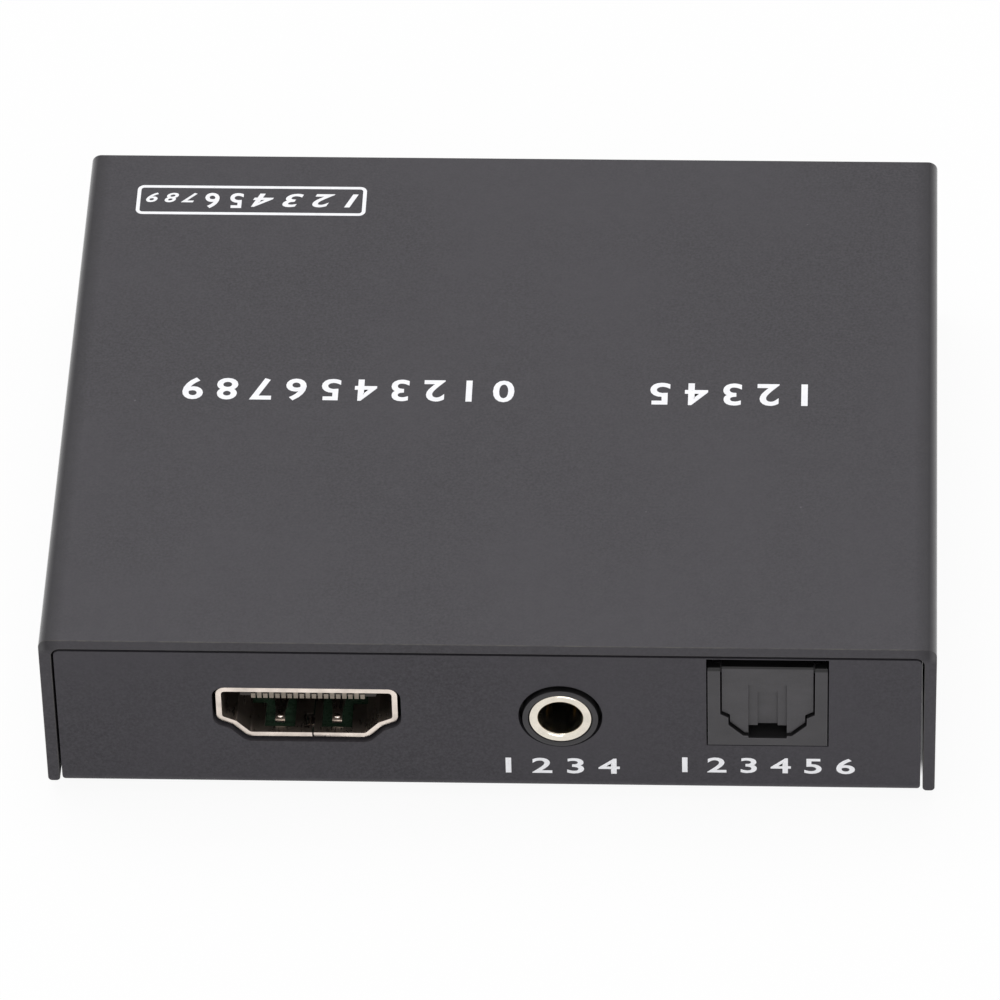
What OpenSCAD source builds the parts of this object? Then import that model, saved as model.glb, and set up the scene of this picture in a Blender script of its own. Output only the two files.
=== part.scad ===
// Small desktop converter box: a folded steel cover over a folded steel tray, with a circuit board
// that carries two video sockets, a headphone jack, an optical socket, a power jack and a mode switch.
// Millimetres. X runs along the front panel, the front panel faces -Y, and Z = 0 is the table.

/* [Case] */
// Width over the cover's side walls
case_w = 73.2; // [72.9:0.1:80]
// Depth from the front panel's face to the rear panel's face
case_d = 61; // [58:0.1:70]
// Height of the cover
case_h = 16; // [15.4:0.1:20]
// Thickness of the folded sheet
sheet_t = 1; // [0.8:0.05:1.1]
// Clearance between the cover and the tray
cover_gap = 0.2; // [0.1:0.05:0.3]
// Outside radius of the cover's bends
cover_bend_r = 1.8; // [1.3:0.1:2.4]
// Outside radius of the tray's bends
tray_bend_r = 1.1; // [1.1:0.1:1.8]
// How far the tray's underside hangs below the cover's walls
tray_drop = 0.35; // [0.1:0.05:0.5]
// Radius of the panels' upper corners
panel_corner_r = 0.5; // [0.4:0.1:1.5]
// Diameter of the rubber feet
foot_d = 8; // [6:0.5:10]
// Height of the rubber feet
foot_h = 0.85; // [0.7:0.05:2]

/* [Fastening] */
// Diameter of the machine screws
screw_d = 2.4; // [2:0.1:2.6]
// Length of the cover screws
cover_screw_l = 4.6; // [4:0.1:5]
// Length of the board screws under the head
board_screw_l = 3.4; // [2.6:0.1:3.6]
// Distance of the cover screws from the case's middle, front to rear
cover_screw_y = 18.5; // [14:0.5:20]
// Height of the cover screws above the board
cover_screw_z = 2.4; // [2:0.1:4]
// Width of the tray's screw lugs
lug_w = 8; // [6:0.1:9]
// Width across the flats of the board's standoffs
standoff_af = 4.8; // [4.4:0.1:5]

/* [Board] */
// Thickness of the circuit board
board_t = 1.6; // [1.2:0.1:1.8]
// Clearance between the board's front and rear edges and the panels
board_gap = 0.5; // [0.3:0.1:1]
// Distance of the board's screws from its side edges
board_hole_x = 3.1; // [2.8:0.1:3.2]
// Distance of the board's screws from its front and rear edges, behind the sockets
board_hole_y = 15; // [14.5:0.1:18]

/* [Video sockets] */
// Place of the output socket along the front panel, as a share of the width
video_out_x_share = -0.20355; // [-0.24:0.001:-0.17]
// Place of the input socket along the rear panel, as a share of the width
video_in_x_share = -0.20355; // [-0.24:0.001:-0.17]
// Width of the socket's opening
video_open_w = 14; // [13.8:0.05:14.2]
// Height of the socket's opening
video_open_h = 4.55; // [4.45:0.05:4.65]
// Depth of the socket's shell
video_shell_d = 12.3; // [11.5:0.1:13]
// Thickness of the shell's sheet
video_shell_t = 0.3; // [0.2:0.05:0.35]
// Thickness of the socket's tongue
video_tongue_t = 1.5; // [1.4:0.05:1.8]
// Distance of the tongue's tip behind the socket's mouth
video_tongue_y = 2; // [1.5:0.1:2.5]
// Pitch of the contacts
video_pitch = 0.5; // [0.45:0.01:0.52]

/* [Headphone jack] */
// Place of the jack along the front panel, as a share of the width
jack_x_share = 0.0806; // [0.05:0.001:0.1]
// Height of the jack's axis above the board
jack_axis_z = 3.05; // [2.9:0.05:3.2]
// Bore of the jack's metal bush
jack_bore_d = 3.6; // [3.5:0.05:3.7]
// Outside diameter of the metal bush
jack_bush_d = 5.2; // [4.8:0.1:5.4]
// Length of the metal bush
jack_bush_l = 3.4; // [2.5:0.1:4]
// Outside diameter of the jack's plastic nose
jack_nose_d = 6.2; // [6:0.1:6.6]
// Depth of the jack behind the panel's face
jack_d = 13; // [12:0.1:14]

/* [Optical socket] */
// Place of the optical socket along the front panel, as a share of the width
optical_x_share = 0.31216; // [0.26:0.001:0.34]
// Width of the optical housing
optical_w = 9.8; // [9.6:0.1:10]
// Height of the optical housing
optical_h = 9.7; // [9.6:0.1:10.2]
// Depth of the optical housing
optical_d = 13.5; // [13:0.1:14]
// Width of the shutter
shutter_w = 7.47; // [7.2:0.01:7.6]
// Thickness of the shutter
shutter_t = 1; // [0.8:0.05:1.05]
// Clearance round the shutter
shutter_gap = 0.13; // [0.1:0.01:0.2]
// Clearance between the housing's roof and the cover
optical_top_gap = 0.3; // [0.2:0.05:0.5]

/* [Power jack] */
// Place of the power jack along the rear panel, as a share of the width
power_x_share = 0.31694; // [0.28:0.001:0.36]
// Diameter of the power jack's pin
power_pin_d = 1.3; // [1.2:0.05:1.4]
// Bore of the power jack
power_bore_d = 3.8; // [3.6:0.05:3.9]
// Outside diameter of the power jack's nose
power_nose_d = 6; // [5.6:0.1:6.2]
// Depth of the power jack behind the panel's face
power_d = 12; // [11.5:0.1:13]

/* [Mode switch] */
// Place of the mode switch along the rear panel, as a share of the width
switch_x_share = 0.05465; // [0.02:0.001:0.07]
// Travel of the knob to each side of its middle position
switch_travel = 2; // [1.5:0.1:2]
// Width of the knob's stem
switch_stem_w = 2; // [1.6:0.1:2.2]
// Distance the knob stands out of the panel
switch_proud = 1; // [0.5:0.1:1.2]
// Width of the switch's moulded base
switch_base_w = 11; // [10.8:0.1:12]

/* [Status lamp] */
// Place of the status lamp along the rear panel, as a share of the width
lamp_x_share = 0.19126; // [0.185:0.001:0.21]
// Diameter of the status lamp
lamp_d = 3; // [2.8:0.1:3.1]

/* [Hidden] */

// Facets of a true round, of a small round in an outline, and of the spring's wire
$fn = 64;
corner_steps = 5;

// Overrun of every cut, the clearance of seated pieces and the running clearance of pins
over = 0.5;
seat_gap = 0.05;
pin_gap = 0.05;
cut_gap = 0.3;

// Heights of the stack, from the table up
tray_z = foot_h;
floor_z = tray_z + sheet_t;
cover_z = tray_z + tray_drop;
roof_z = cover_z + case_h - sheet_t;
board_top = roof_z - optical_top_gap - optical_h;
board_z = board_top - board_t;
standoff_h = board_z - floor_z;
panel_top = roof_z - cover_gap;

// Places along the panels, and widths and depths of the case's pieces
video_out_x = case_w * video_out_x_share;
video_in_x = case_w * video_in_x_share;
jack_x = case_w * jack_x_share;
optical_x = case_w * optical_x_share;
power_x = case_w * power_x_share;
switch_x = case_w * switch_x_share;
lamp_x = case_w * lamp_x_share;
tray_w = case_w - 2 * (sheet_t + cover_gap);
front_y = -case_d / 2;
flange_foot_r = 0.35;
tray_corner_r = 1;
foot_inset = 8;
foot_chamfer = 0.3;

// The tray's lugs
lug_rise = 3.2;
lug_h = board_top + cover_screw_z + lug_rise - tray_z;
lug_corner_r = 1.5;
lug_relief_w = 0.8;
lug_relief_d = 1.8;

// The screws: a flush 90 degree head as deep as the sheet, and a pan head on the board
screw_r = screw_d / 2;
screw_head_r = screw_r + sheet_t;
board_head_r = 2.2;
board_head_h = 1.5;
recess_w = 0.6;
recess_l = 2;
recess_d = 0.6;
clinch_d = 4;
standoff_bore_floor = 0.4;

// The board
board_w = tray_w - 2 * sheet_t - 1.8;
board_d = case_d - 2 * (sheet_t + board_gap);
board_corner_r = 1;
board_edge_y = sheet_t + board_gap;
screw_x = board_w / 2 - board_hole_x;
screw_y = board_d / 2 - board_hole_y;

// The video socket, with heights above the board and depths behind the panel's face
video_recess = 0.3;
video_floor_z = 0.6;
video_foot_w = 9.46;
video_waist_w = 11.68;
video_waist_rise = 1.21;
video_shoulder_rise = 1.75;
video_lip_t = 0.45;
video_lip_d = 0.5;
video_corner_r = 0.3;
video_ceiling_z = video_floor_z + video_open_h;
video_floor_d = 8;
video_tongue_w = 11.2;
video_tongue_drop = 0.5;
video_back_gap_z = 1.4;
tongue_top = video_ceiling_z - video_tongue_drop;
tongue_low = tongue_top - video_tongue_t;
contact_w = 0.36;
contact_t = 0.15;
contact_count = 19;
contact_hook = 0.35;
contact_foot = 1.1;
contact_slack = 0.05;
block_rear_y = video_shell_d - video_shell_t - 0.4;
finger_x = 2.35;
finger_root_y = 6.4;
finger_tip_y = 1.4;
finger_knee_y = 2.3;
finger_tip_w = 0.8;
finger_root_w = 1.7;
finger_lift = 0.65;
finger_top_lift = 0.3;
finger_fall = 0.3;
finger_gap = 0.4;
finger_window_w = 3.2;
finger_window_y = 3.7;
seam_x = 0.4;
seam_w = 0.12;
seam_key_w = 0.55;
seam_key_y = 1.2;
seam_key_l = 1.3;
leg_w = 2;
leg_pin_w = 1.2;
leg_pin_l = 2.2;
leg_top_z = 3;
leg_places = [3, 8.8];
slot_gap = 0.15;

// The headphone jack
jack_w = 7.4;
jack_h = 2 * jack_axis_z;
jack_nose_proud = 0.3;
jack_bush_proud = 0.35;
jack_bush_chamfer = 0.2;
jack_plug_gap = 0.5;
jack_hole_gap = 0.35;
jack_wall = 1;
jack_pocket_x = 3.2;
jack_pocket_y = 4.6;
jack_pocket_h = 2;
jack_leaf_t = 0.2;
jack_leaf_h = 1.5;
jack_leaf_reach = 0.65;
jack_leaf_open = 0.9;
jack_tail_w = 0.9;
peg_d = 1.2;
peg_l = 1.2;
peg_gap = 0.1;
jack_peg_shares = [0.35, 0.75];
pin_l = 2.2;

// The optical socket, with heights above the board and depths behind the panel's face
shutter_face_y = 0.3;
hinge_r_share = 0.75;
hinge_r = shutter_t * hinge_r_share;
hinge_y = shutter_face_y + hinge_r;
optical_frame_h = optical_h - 0.95;
shutter_top_z = optical_frame_h - 0.12;
hinge_z = shutter_top_z - hinge_r;
shutter_step_z = 3.6;
shutter_waist_z = 3.2;
shutter_waist_w = 6.15;
shutter_slope_z = 2.4;
shutter_foot_w = 3.7;
shutter_foot_z = 1.17;
channel_w = 3.15;
channel_d = 0.35;
channel_top_z = 6.55;
key_w = 1.64;
key_d = 0.25;
key_top_z = 5.5;
shutter_notch_z = 1.7;
slot_floor_z = 0.8;
journal_r = 0.45;
journal_l = 0.6;
coil_w = 2.6;
recess_y = 2.4;
bar_y = hinge_y + hinge_r + 0.15;
bar_low_z = hinge_z + shutter_t - hinge_r + 0.08;
bar_top_z = optical_frame_h + 0.35;
bar_w = 6.84;
boss_w = 2.5;
boss_h = 0.55;
plug_depth = 9;
optical_axis_z = 4.4;
ferrule_d = 3.4;
emitter_y = 10.6;
emitter_w = 6;
emitter_h = 7;
emitter_d = 2.6;
lens_r = 1.2;
lens_reach = 0.8;
latch_y = 4.6;
latch_l = 2;
latch_h = 2.6;
latch_z = 3.6;
optical_peg_d = 1.5;
optical_peg_x = 3.4;
optical_peg_y = 4.5;
lead_w = 0.5;
lead_t = 0.4;
lead_pitch = 2.54;
lead_count = 3;

// The torsion spring on the shutter's hinge
wire_r = 0.11;
wire_gap = 0.04;
coil_r = shutter_t - hinge_r + wire_r + wire_gap;
coil_core_r = coil_r - wire_r - pin_gap;
coil_pocket_r = coil_r + wire_r + pin_gap;
coil_turns = 5;
coil_pitch = 0.36;
coil_steps = 12;
wire_sides = 6;
spring_back_l = 1.3;
spring_front_l = 2.6;
spring_slot_w = 0.6;

// The power jack
power_w = 7;
power_h = 6.6;
power_axis_z = power_h / 2;
power_nose_y = 0.1;
power_hole_gap = 0.2;
power_bore_l = 9.4;
power_pin_y = 0.8;
power_pin_chamfer = 0.2;
power_root_r = power_pin_d / 2 + 0.3;
power_tail_w = 1.6;
power_tail_t = 0.3;
power_leaf_t = 0.2;
power_leaf_reach = 0.2;
power_pocket_d = 1;
power_pocket_y = 3;

// The mode switch, with depths behind the panel's face
switch_frame_t = 0.3;
switch_frame_y = 1.6;
switch_base_y = switch_frame_y + switch_frame_t;
switch_base_d = 3.7;
switch_h = 4.7;
switch_frame_w = switch_base_w + 2 * (switch_frame_t + seat_gap);
switch_axis_z = 2.5;
switch_stem_h = 1.8;
switch_slider_w = 4.6;
switch_slider_h = 2.4;
switch_slide_gap = 0.2;
switch_cavity_w = switch_slider_w + 2 * (switch_travel + switch_slide_gap);
switch_cavity_d = 2.8;
switch_slider_d = 2.2;
switch_tip_chamfer = 0.3;
switch_leg_w = 1.6;
switch_slot_gap = 0.3;
terminal_count = 4;
terminal_pitch = 2.5;
terminal_w = 0.5;
terminal_t = 0.3;
terminal_h = 3.3;
wiper_w = 3.6;
wiper_h = 1.4;
wiper_t = 0.15;
wiper_bump_r = 0.35;
wiper_bump = 0.08;

// The status lamp
lamp_axis_z = 3;
lamp_tip_y = 0.2;
lamp_body_l = 5.2;
lamp_flange_r = lamp_d / 2 + 0.4;
lamp_flange_l = 1;
lamp_hole_gap = 0.1;
lamp_lead_x = 1.27;
lamp_lead_t = 0.5;
lamp_lead_run = 1.6;

// The chips, with places as shares of the board's width and depth from its middle
video_chip_w = 10;
video_chip_h = 0.9;
video_chip_shares = [-0.2, 0.02];
pad_t = 0.5;
pad_w = 9.6;
heatsink_w = 14;
heatsink_base_h = 1.2;
heatsink_h = 5;
fin_count = 7;
fin_t = 0.8;
audio_chip_l = 9.9;
audio_chip_w = 3.9;
audio_chip_h = 1.5;
audio_chip_shares = [0.09, -0.13];
audio_leg_count = 8;
audio_leg_pitch = 1.27;
control_chip_w = 7;
control_chip_h = 1.4;
control_chip_shares = [0.09, 0.13];
control_leg_count = 8;
control_leg_pitch = 0.8;
chip_lift = 0.1;
leg_reach = 1;
leg_foot = 0.5;
leg_t = 0.13;
leg_share = 0.3;
regulator_w = 6.5;
regulator_d = 3.5;
regulator_h = 1.6;
regulator_shares = [0.37, 0.14];
inductor_w = 6;
inductor_h = 3;
inductor_core_d = 4.6;
inductor_groove = 1.6;
inductor_shares = [0.37, 0];
crystal_l = 11;
crystal_w = 4.6;
crystal_h = 3.4;
crystal_flange = 0.4;
crystal_shares = [-0.39, 0.02];
can_d = 5;
can_h = 5.4;
can_base_w = 5.3;
can_base_h = 1;
can_groove_z = 1.9;
can_groove = 0.25;
can_edge_r = 0.4;
can_shares = [[0.26, -0.16], [0.37, -0.16], [0.26, 0.02]];
chip_l = 1.6;
chip_w = 0.8;
ceramic_h = 0.8;
resistor_h = 0.5;
ceramic_shares = [
    [-0.36, -0.19], [-0.31, -0.19], [-0.26, -0.19], [-0.21, -0.19], [-0.16, -0.19], [-0.11, -0.19],
    [-0.33, 0.2], [-0.28, 0.2], [-0.23, 0.2], [-0.18, 0.2], [-0.06, -0.09], [-0.06, -0.04],
    [0.2, 0.11], [0.2, 0.15], [-0.06, 0.01], [0.2, 0.07]
];
resistor_shares = [
    [-0.36, -0.165], [-0.31, -0.165], [-0.26, -0.165], [-0.21, -0.165], [-0.16, -0.165],
    [-0.33, 0.225], [-0.28, 0.225], [-0.23, 0.225], [-0.18, 0.225], [-0.06, 0.06], [-0.06, 0.1],
    [0.01, -0.22], [0.06, -0.22], [0.11, -0.22]
];

// Colours, as the photograph shows them
paint = [0.28, 0.28, 0.29];
steel = [0.75, 0.75, 0.76];
nickel = [0.86, 0.83, 0.76];
black = [0.09, 0.09, 0.1];
dark = [0.16, 0.16, 0.17];
green = [0.06, 0.3, 0.16];
gold = [0.85, 0.7, 0.35];

// Unit vector, and outward normal of an edge of a loop that runs counter-clockwise
function unit(v) = v / norm(v);
function edge_normal(a, b) = unit([b[1] - a[1], a[0] - b[0]]);

// Neighbour of point i in a loop
function at(loop, i) = loop[(i + len(loop)) % len(loop)];

// Loop with every edge moved outward by g
function grown(loop, g) = [
    for (i = [0 : len(loop) - 1])
        let (m = edge_normal(at(loop, i - 1), loop[i]) + edge_normal(loop[i], at(loop, i + 1)))
            loop[i] + 2 * g * m / (m * m)
];

// Loop with every corner rounded by its own radius
function rounded(loop, radii) = [
    for (i = [0 : len(loop) - 1])
        let (
            before = unit(at(loop, i - 1) - loop[i]), after = unit(at(loop, i + 1) - loop[i]),
            half = acos(before * after) / 2,
            middle = loop[i] + unit(before + after) * radii[i] / sin(half),
            start = loop[i] + before * radii[i] / tan(half) - middle, turn = 180 - 2 * half,
            way = before[0] * after[1] - before[1] * after[0] > 0 ? -1 : 1
        )
            for (k = [0 : corner_steps])
                let (angle = way * turn * k / corner_steps)
                    middle + [
                        start[0] * cos(angle) - start[1] * sin(angle),
                        start[0] * sin(angle) + start[1] * cos(angle)
                    ]
];

// Opening of the video socket, seen from the front, grown by g
function video_outline(g) =
    let (
        side = video_open_w / 2,
        waist = video_waist_w / 2,
        foot = video_foot_w / 2,
        low = video_floor_z,
        loop = [
            [-foot, low], [foot, low],
            [waist, low + video_waist_rise], [side, low + video_shoulder_rise],
            [side, video_ceiling_z], [-side, video_ceiling_z],
            [-side, low + video_shoulder_rise], [-waist, low + video_waist_rise]
        ],
        r = video_corner_r,
        radii = [r + g, r + g, r, r + g, r + g, r + g, r + g, r]
    )
        rounded(grown(loop, g), radii);

// Front outline of the shutter, grown by g, with its top edge at the height given
function shutter_outline(g, top) =
    let (
        side = shutter_w / 2 + g, waist = shutter_waist_w / 2 + g, foot = shutter_foot_w / 2 + g
    )
        [
            [-foot, shutter_foot_z - g], [foot, shutter_foot_z - g],
            [waist, shutter_slope_z - g], [waist, shutter_waist_z - g],
            [side, shutter_step_z - g], [side, top], [-side, top], [-side, shutter_step_z - g],
            [-waist, shutter_waist_z - g], [-waist, shutter_slope_z - g]
        ];

// A flat shape of the X-Z plane, pulled from y0 to y1
module along_y(y0, y1) {
    translate([0, y1, 0])
        rotate([90, 0, 0])
            linear_extrude(y1 - y0)
                children();
}

// A flat shape of the Y-Z plane, pulled to a width about x = 0
module across_x(width) {
    rotate([90, 0, 90])
        linear_extrude(width, center = true)
            children();
}

// A box centred on x = 0 that spans the given depths and heights
module span_box(width, y0, y1, z0, z1) {
    translate([-width / 2, y0, z0])
        cube([width, y1 - y0, z1 - z0]);
}

// A round bar along +Y
module bar_y(r, y0, y1) {
    translate([0, y0, 0])
        rotate([-90, 0, 0])
            cylinder(h = y1 - y0, r = r);
}

// Flat plate standing on y = 0, with its two upper corners rounded
module round_top(width, height, r) {
    translate([-width / 2, 0])
        square([width, height - r]);
    translate([r - width / 2, 0])
        square([width - 2 * r, height]);
    for (side = [-1, 1])
        translate([side * (width / 2 - r), height - r])
            circle(r);
}

// Cutter that rounds a corner at the origin whose plate lies toward +X and +Y
module round_off(r) {
    difference() {
        translate([-over, -over])
            square(r + over);
        translate([r, r])
            circle(r);
    }
}

// A piece at the front panel, or turned about at the rear panel, on the board
module at_front(x) {
    translate([x, front_y, board_top])
        children();
}

module at_rear(x) {
    translate([x, -front_y, board_top])
        rotate([0, 0, 180])
            children();
}

// Places of the case's screws, the board's screws and the feet
module at_cover_screws() {
    for (side = [-1, 1], end = [-1, 1])
        translate([side * case_w / 2, end * cover_screw_y, board_top + cover_screw_z])
            rotate([0, -side * 90, 0])
                children();
}

module at_board_screws() {
    for (side = [-1, 1], end = [-1, 1])
        translate([side * screw_x, end * screw_y, 0])
            children();
}

// Flush head with its straight shank, from the face inward; grown by g
module flush_screw(g, length) {
    cylinder(h = length, r = screw_r + g);
    translate([0, 0, -over * sign(g)])
        cylinder(
            h = sheet_t + over * sign(g), r1 = screw_head_r + g + over * sign(g), r2 = screw_r + g
        );
}

// Cross recess in a screw's face
module cross_recess() {
    for (turn = [0, 90])
        rotate([0, 0, turn])
            translate([-recess_l / 2, -recess_w / 2, -over])
                cube([recess_l, recess_w, recess_d + over]);
}

module top_cover() {
    color(paint)
        difference() {
            translate([0, 0, cover_z])
                rotate([90, 0, 0])
                    linear_extrude(case_d, center = true)
                        difference() {
                            round_top(case_w, case_h, cover_bend_r);
                            translate([0, -over])
                                round_top(
                                    case_w - 2 * sheet_t, case_h - sheet_t + over,
                                    cover_bend_r - sheet_t
                                );
                            for (side = [0, 1])
                                mirror([side, 0])
                                    flange_foot_cuts();
                        }
            at_cover_screws()
                flush_screw(pin_gap, sheet_t + over);
        }
}

// The two rounded corners at the foot of a side wall
module flange_foot_cuts() {
    translate([-case_w / 2, 0])
        round_off(flange_foot_r);
    translate([sheet_t - case_w / 2, 0])
        mirror([1, 0])
            round_off(flange_foot_r);
}

// The folded tray: floor, front panel and rear panel in one strip, with the screw lugs
module base_tray() {
    color(paint)
        difference() {
            union() {
                translate([0, 0, tray_z])
                    across_x(tray_w)
                        tray_profile();
                at_lugs()
                    translate([-sheet_t / 2, 0, 0])
                        across_x(sheet_t)
                            round_top(lug_w, lug_h, lug_corner_r);
            }
            at_lugs()
                lug_cuts();
            panel_corner_cuts();
            at_cover_screws()
                cylinder(h = 2 * sheet_t + cover_gap + over, r = screw_r + pin_gap);
            at_board_screws()
                translate([0, 0, tray_z - over])
                    cylinder(h = sheet_t + 2 * over, d = clinch_d + 2 * pin_gap);
            front_openings();
            rear_openings();
        }
}

// Section of the tray in the Y-Z plane
module tray_profile() {
    height = panel_top - tray_z;
    difference() {
        translate([0, height])
            mirror([0, 1])
                round_top(case_d, height, tray_bend_r);
        translate([0, height + over])
            mirror([0, 1])
                round_top(case_d - 2 * sheet_t, height - sheet_t + over, tray_bend_r - sheet_t);
    }
}

// Each lug, with x = 0 at the tray's side edge and +X pointing out of the case
module at_lugs() {
    for (side = [0, 1], end = [-1, 1])
        mirror([side, 0, 0])
            translate([tray_w / 2, end * cover_screw_y, tray_z])
                children();
}

// The lug's outer bend, and the relief notches at its two ends
module lug_cuts() {
    along_y(-lug_w / 2 - lug_relief_w, lug_w / 2 + lug_relief_w)
        mirror([1, 0])
            round_off(tray_bend_r);
    for (end = [-1, 1])
        translate([-lug_relief_d, end * (lug_w + lug_relief_w) / 2 - lug_relief_w / 2, -over])
            cube([lug_relief_d + over, lug_relief_w, sheet_t + 2 * over]);
}

// Rounded upper and lower corners of the two panels
module panel_corner_cuts() {
    for (end = [0, 1], side = [0, 1])
        mirror([0, end, 0])
            mirror([side, 0, 0]) {
                translate([-tray_w / 2, 0, panel_top])
                    along_y(front_y - over, front_y + sheet_t + over)
                        mirror([0, 1])
                            round_off(panel_corner_r);
                translate([-tray_w / 2, 0, tray_z])
                    along_y(front_y - over, front_y + tray_bend_r)
                        round_off(tray_corner_r);
            }
}

module front_openings() {
    at_front(video_out_x)
        along_y(-over, sheet_t + over)
            polygon(video_outline(video_lip_t + cut_gap));
    at_front(jack_x)
        translate([0, 0, jack_axis_z])
            bar_y(jack_nose_d / 2 + jack_hole_gap, -over, sheet_t + over);
    at_front(optical_x)
        span_box(optical_w + 2 * seat_gap + cut_gap / 3, -over, sheet_t + over, -seat_gap, optical_h);
}

module rear_openings() {
    at_rear(video_in_x)
        along_y(-over, sheet_t + over)
            polygon(video_outline(video_lip_t + cut_gap));
    at_rear(power_x)
        translate([0, 0, power_axis_z])
            bar_y(power_nose_d / 2 + power_hole_gap, -over, sheet_t + over);
    at_rear(lamp_x)
        translate([0, 0, lamp_axis_z])
            bar_y(lamp_d / 2 + lamp_hole_gap, -over, sheet_t + over);
    at_rear(switch_x)
        span_box(
            switch_stem_w + 2 * (switch_travel + switch_slot_gap), -over, sheet_t + over,
            switch_axis_z - switch_stem_h / 2 - switch_slot_gap,
            switch_axis_z + switch_stem_h / 2 + switch_slot_gap
        );
}

module cover_screws() {
    color(dark)
        at_cover_screws()
            difference() {
                flush_screw(0, cover_screw_l);
                cross_recess();
            }
}

// Clinched standoffs: a hexagon under the board and a shank flush with the tray's underside
module board_standoffs() {
    color(steel)
        at_board_screws()
            difference() {
                union() {
                    translate([0, 0, floor_z])
                        cylinder(h = standoff_h, d = standoff_af / cos(30), $fn = 6);
                    translate([0, 0, tray_z])
                        cylinder(h = sheet_t + standoff_h / 2, d = clinch_d);
                }
                translate([0, 0, tray_z + standoff_bore_floor])
                    cylinder(h = sheet_t + standoff_h, r = screw_r + pin_gap);
            }
}

module board_screws() {
    color(steel)
        at_board_screws()
            translate([0, 0, board_top + board_head_h])
                mirror([0, 0, 1])
                    difference() {
                        union() {
                            cylinder(h = board_head_h, r = board_head_r);
                            cylinder(h = board_head_h + board_screw_l, r = screw_r);
                        }
                        cross_recess();
                    }
}

module rubber_feet() {
    color(black)
        for (side = [-1, 1], end = [-1, 1])
            translate([side * (case_w / 2 - foot_inset), end * (case_d / 2 - foot_inset), 0]) {
                cylinder(h = foot_chamfer, d1 = foot_d - 2 * foot_chamfer, d2 = foot_d);
                translate([0, 0, foot_chamfer])
                    cylinder(h = foot_h - foot_chamfer, d = foot_d);
            }
}

module circuit_board() {
    color(green)
        difference() {
            translate([0, 0, board_z])
                linear_extrude(board_t)
                    board_outline();
            at_board_screws()
                translate([0, 0, board_z - over])
                    cylinder(h = board_t + 2 * over, r = screw_r + slot_gap);
            at_front(video_out_x)
                video_leg_slots();
            at_rear(video_in_x)
                video_leg_slots();
            at_front(jack_x)
                jack_board_holes();
            at_front(optical_x)
                optical_board_holes();
            at_rear(power_x)
                power_board_holes();
            at_rear(switch_x)
                switch_board_holes();
            at_rear(lamp_x)
                lamp_board_holes();
        }
}

module board_outline() {
    for (inset = [[0, board_corner_r], [board_corner_r, 0]])
        square([board_w - 2 * inset[0], board_d - 2 * inset[1]], center = true);
    for (side = [-1, 1], end = [-1, 1])
        translate([side * (board_w / 2 - board_corner_r), end * (board_d / 2 - board_corner_r)])
            circle(board_corner_r);
}

// A rectangular hole through the board for a pin of the given section
module pin_slot(x, y, width, depth) {
    translate([x - width / 2 - slot_gap, y - depth / 2 - slot_gap, -board_t - over])
        cube([width + 2 * slot_gap, depth + 2 * slot_gap, board_t + 2 * over]);
}

// A round hole through the board
module pin_hole(x, y, d) {
    translate([x, y, -board_t - over])
        cylinder(h = board_t + 2 * over, d = d);
}

// The video socket's folded shell: flared lip, four spring fingers, seam and four legs
module video_shell() {
    tube_x = video_open_w / 2 + video_shell_t / 2;
    difference() {
        union() {
            along_y(video_recess, video_recess + video_lip_d)
                polygon(video_outline(video_lip_t));
            along_y(video_recess, video_shell_d)
                polygon(video_outline(video_shell_t));
            for (side = [-1, 1], y = leg_places)
                translate([side * tube_x, y, 0]) {
                    span_box(video_shell_t, 0, leg_w, 0, leg_top_z);
                    span_box(
                        video_shell_t, (leg_w - leg_pin_w) / 2, (leg_w + leg_pin_w) / 2, -leg_pin_l,
                        leg_top_z
                    );
                }
        }
        along_y(-over, video_shell_d - video_shell_t)
            polygon(video_outline(0));
        span_box(video_foot_w, video_floor_d, video_shell_d + over, -over, video_back_gap_z);
        for (side = [-1, 1])
            translate([side * finger_x, 0, 0]) {
                finger_window(video_floor_z - video_shell_t - over, video_floor_z + seat_gap);
                finger_window(video_ceiling_z - seat_gap, video_ceiling_z + video_shell_t + over);
                translate([side * finger_window_w / 2, 0, 0])
                    span_box(
                        finger_window_w, finger_window_y, finger_root_y,
                        video_floor_z - video_shell_t - over, video_floor_z + seat_gap
                    );
            }
        seam();
    }
    for (side = [-1, 1])
        translate([side * finger_x, 0, 0]) {
            finger(finger_lift);
            translate([0, 0, 2 * video_floor_z + video_open_h])
                mirror([0, 0, 1])
                    finger(finger_top_lift);
        }
}

module finger_window(z0, z1) {
    span_box(finger_root_w + 2 * finger_gap, finger_tip_y - finger_gap, finger_root_y, z0, z1);
}

// One spring finger, rooted in the socket's floor and lifted toward its tip
module finger(lift) {
    low = video_floor_z - video_shell_t;
    root = finger_root_y + video_shell_t;
    intersection() {
        across_x(finger_root_w)
            polygon([
                [root, low], [root, low + video_shell_t],
                [finger_knee_y, low + video_shell_t + lift],
                [finger_tip_y, low + video_shell_t + lift - finger_fall * lift / finger_lift],
                [finger_tip_y, low + lift - finger_fall * lift / finger_lift],
                [finger_knee_y, low + lift]
            ]);
        translate([0, 0, low - over])
            linear_extrude(video_open_h)
                polygon([
                    [-finger_tip_w / 2, 0], [finger_tip_w / 2, 0],
                    [finger_tip_w / 2, finger_knee_y], [finger_root_w / 2, finger_root_y],
                    [finger_root_w / 2, root + over], [-finger_root_w / 2, root + over],
                    [-finger_root_w / 2, finger_root_y], [-finger_tip_w / 2, finger_knee_y]
                ]);
    }
}

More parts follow.
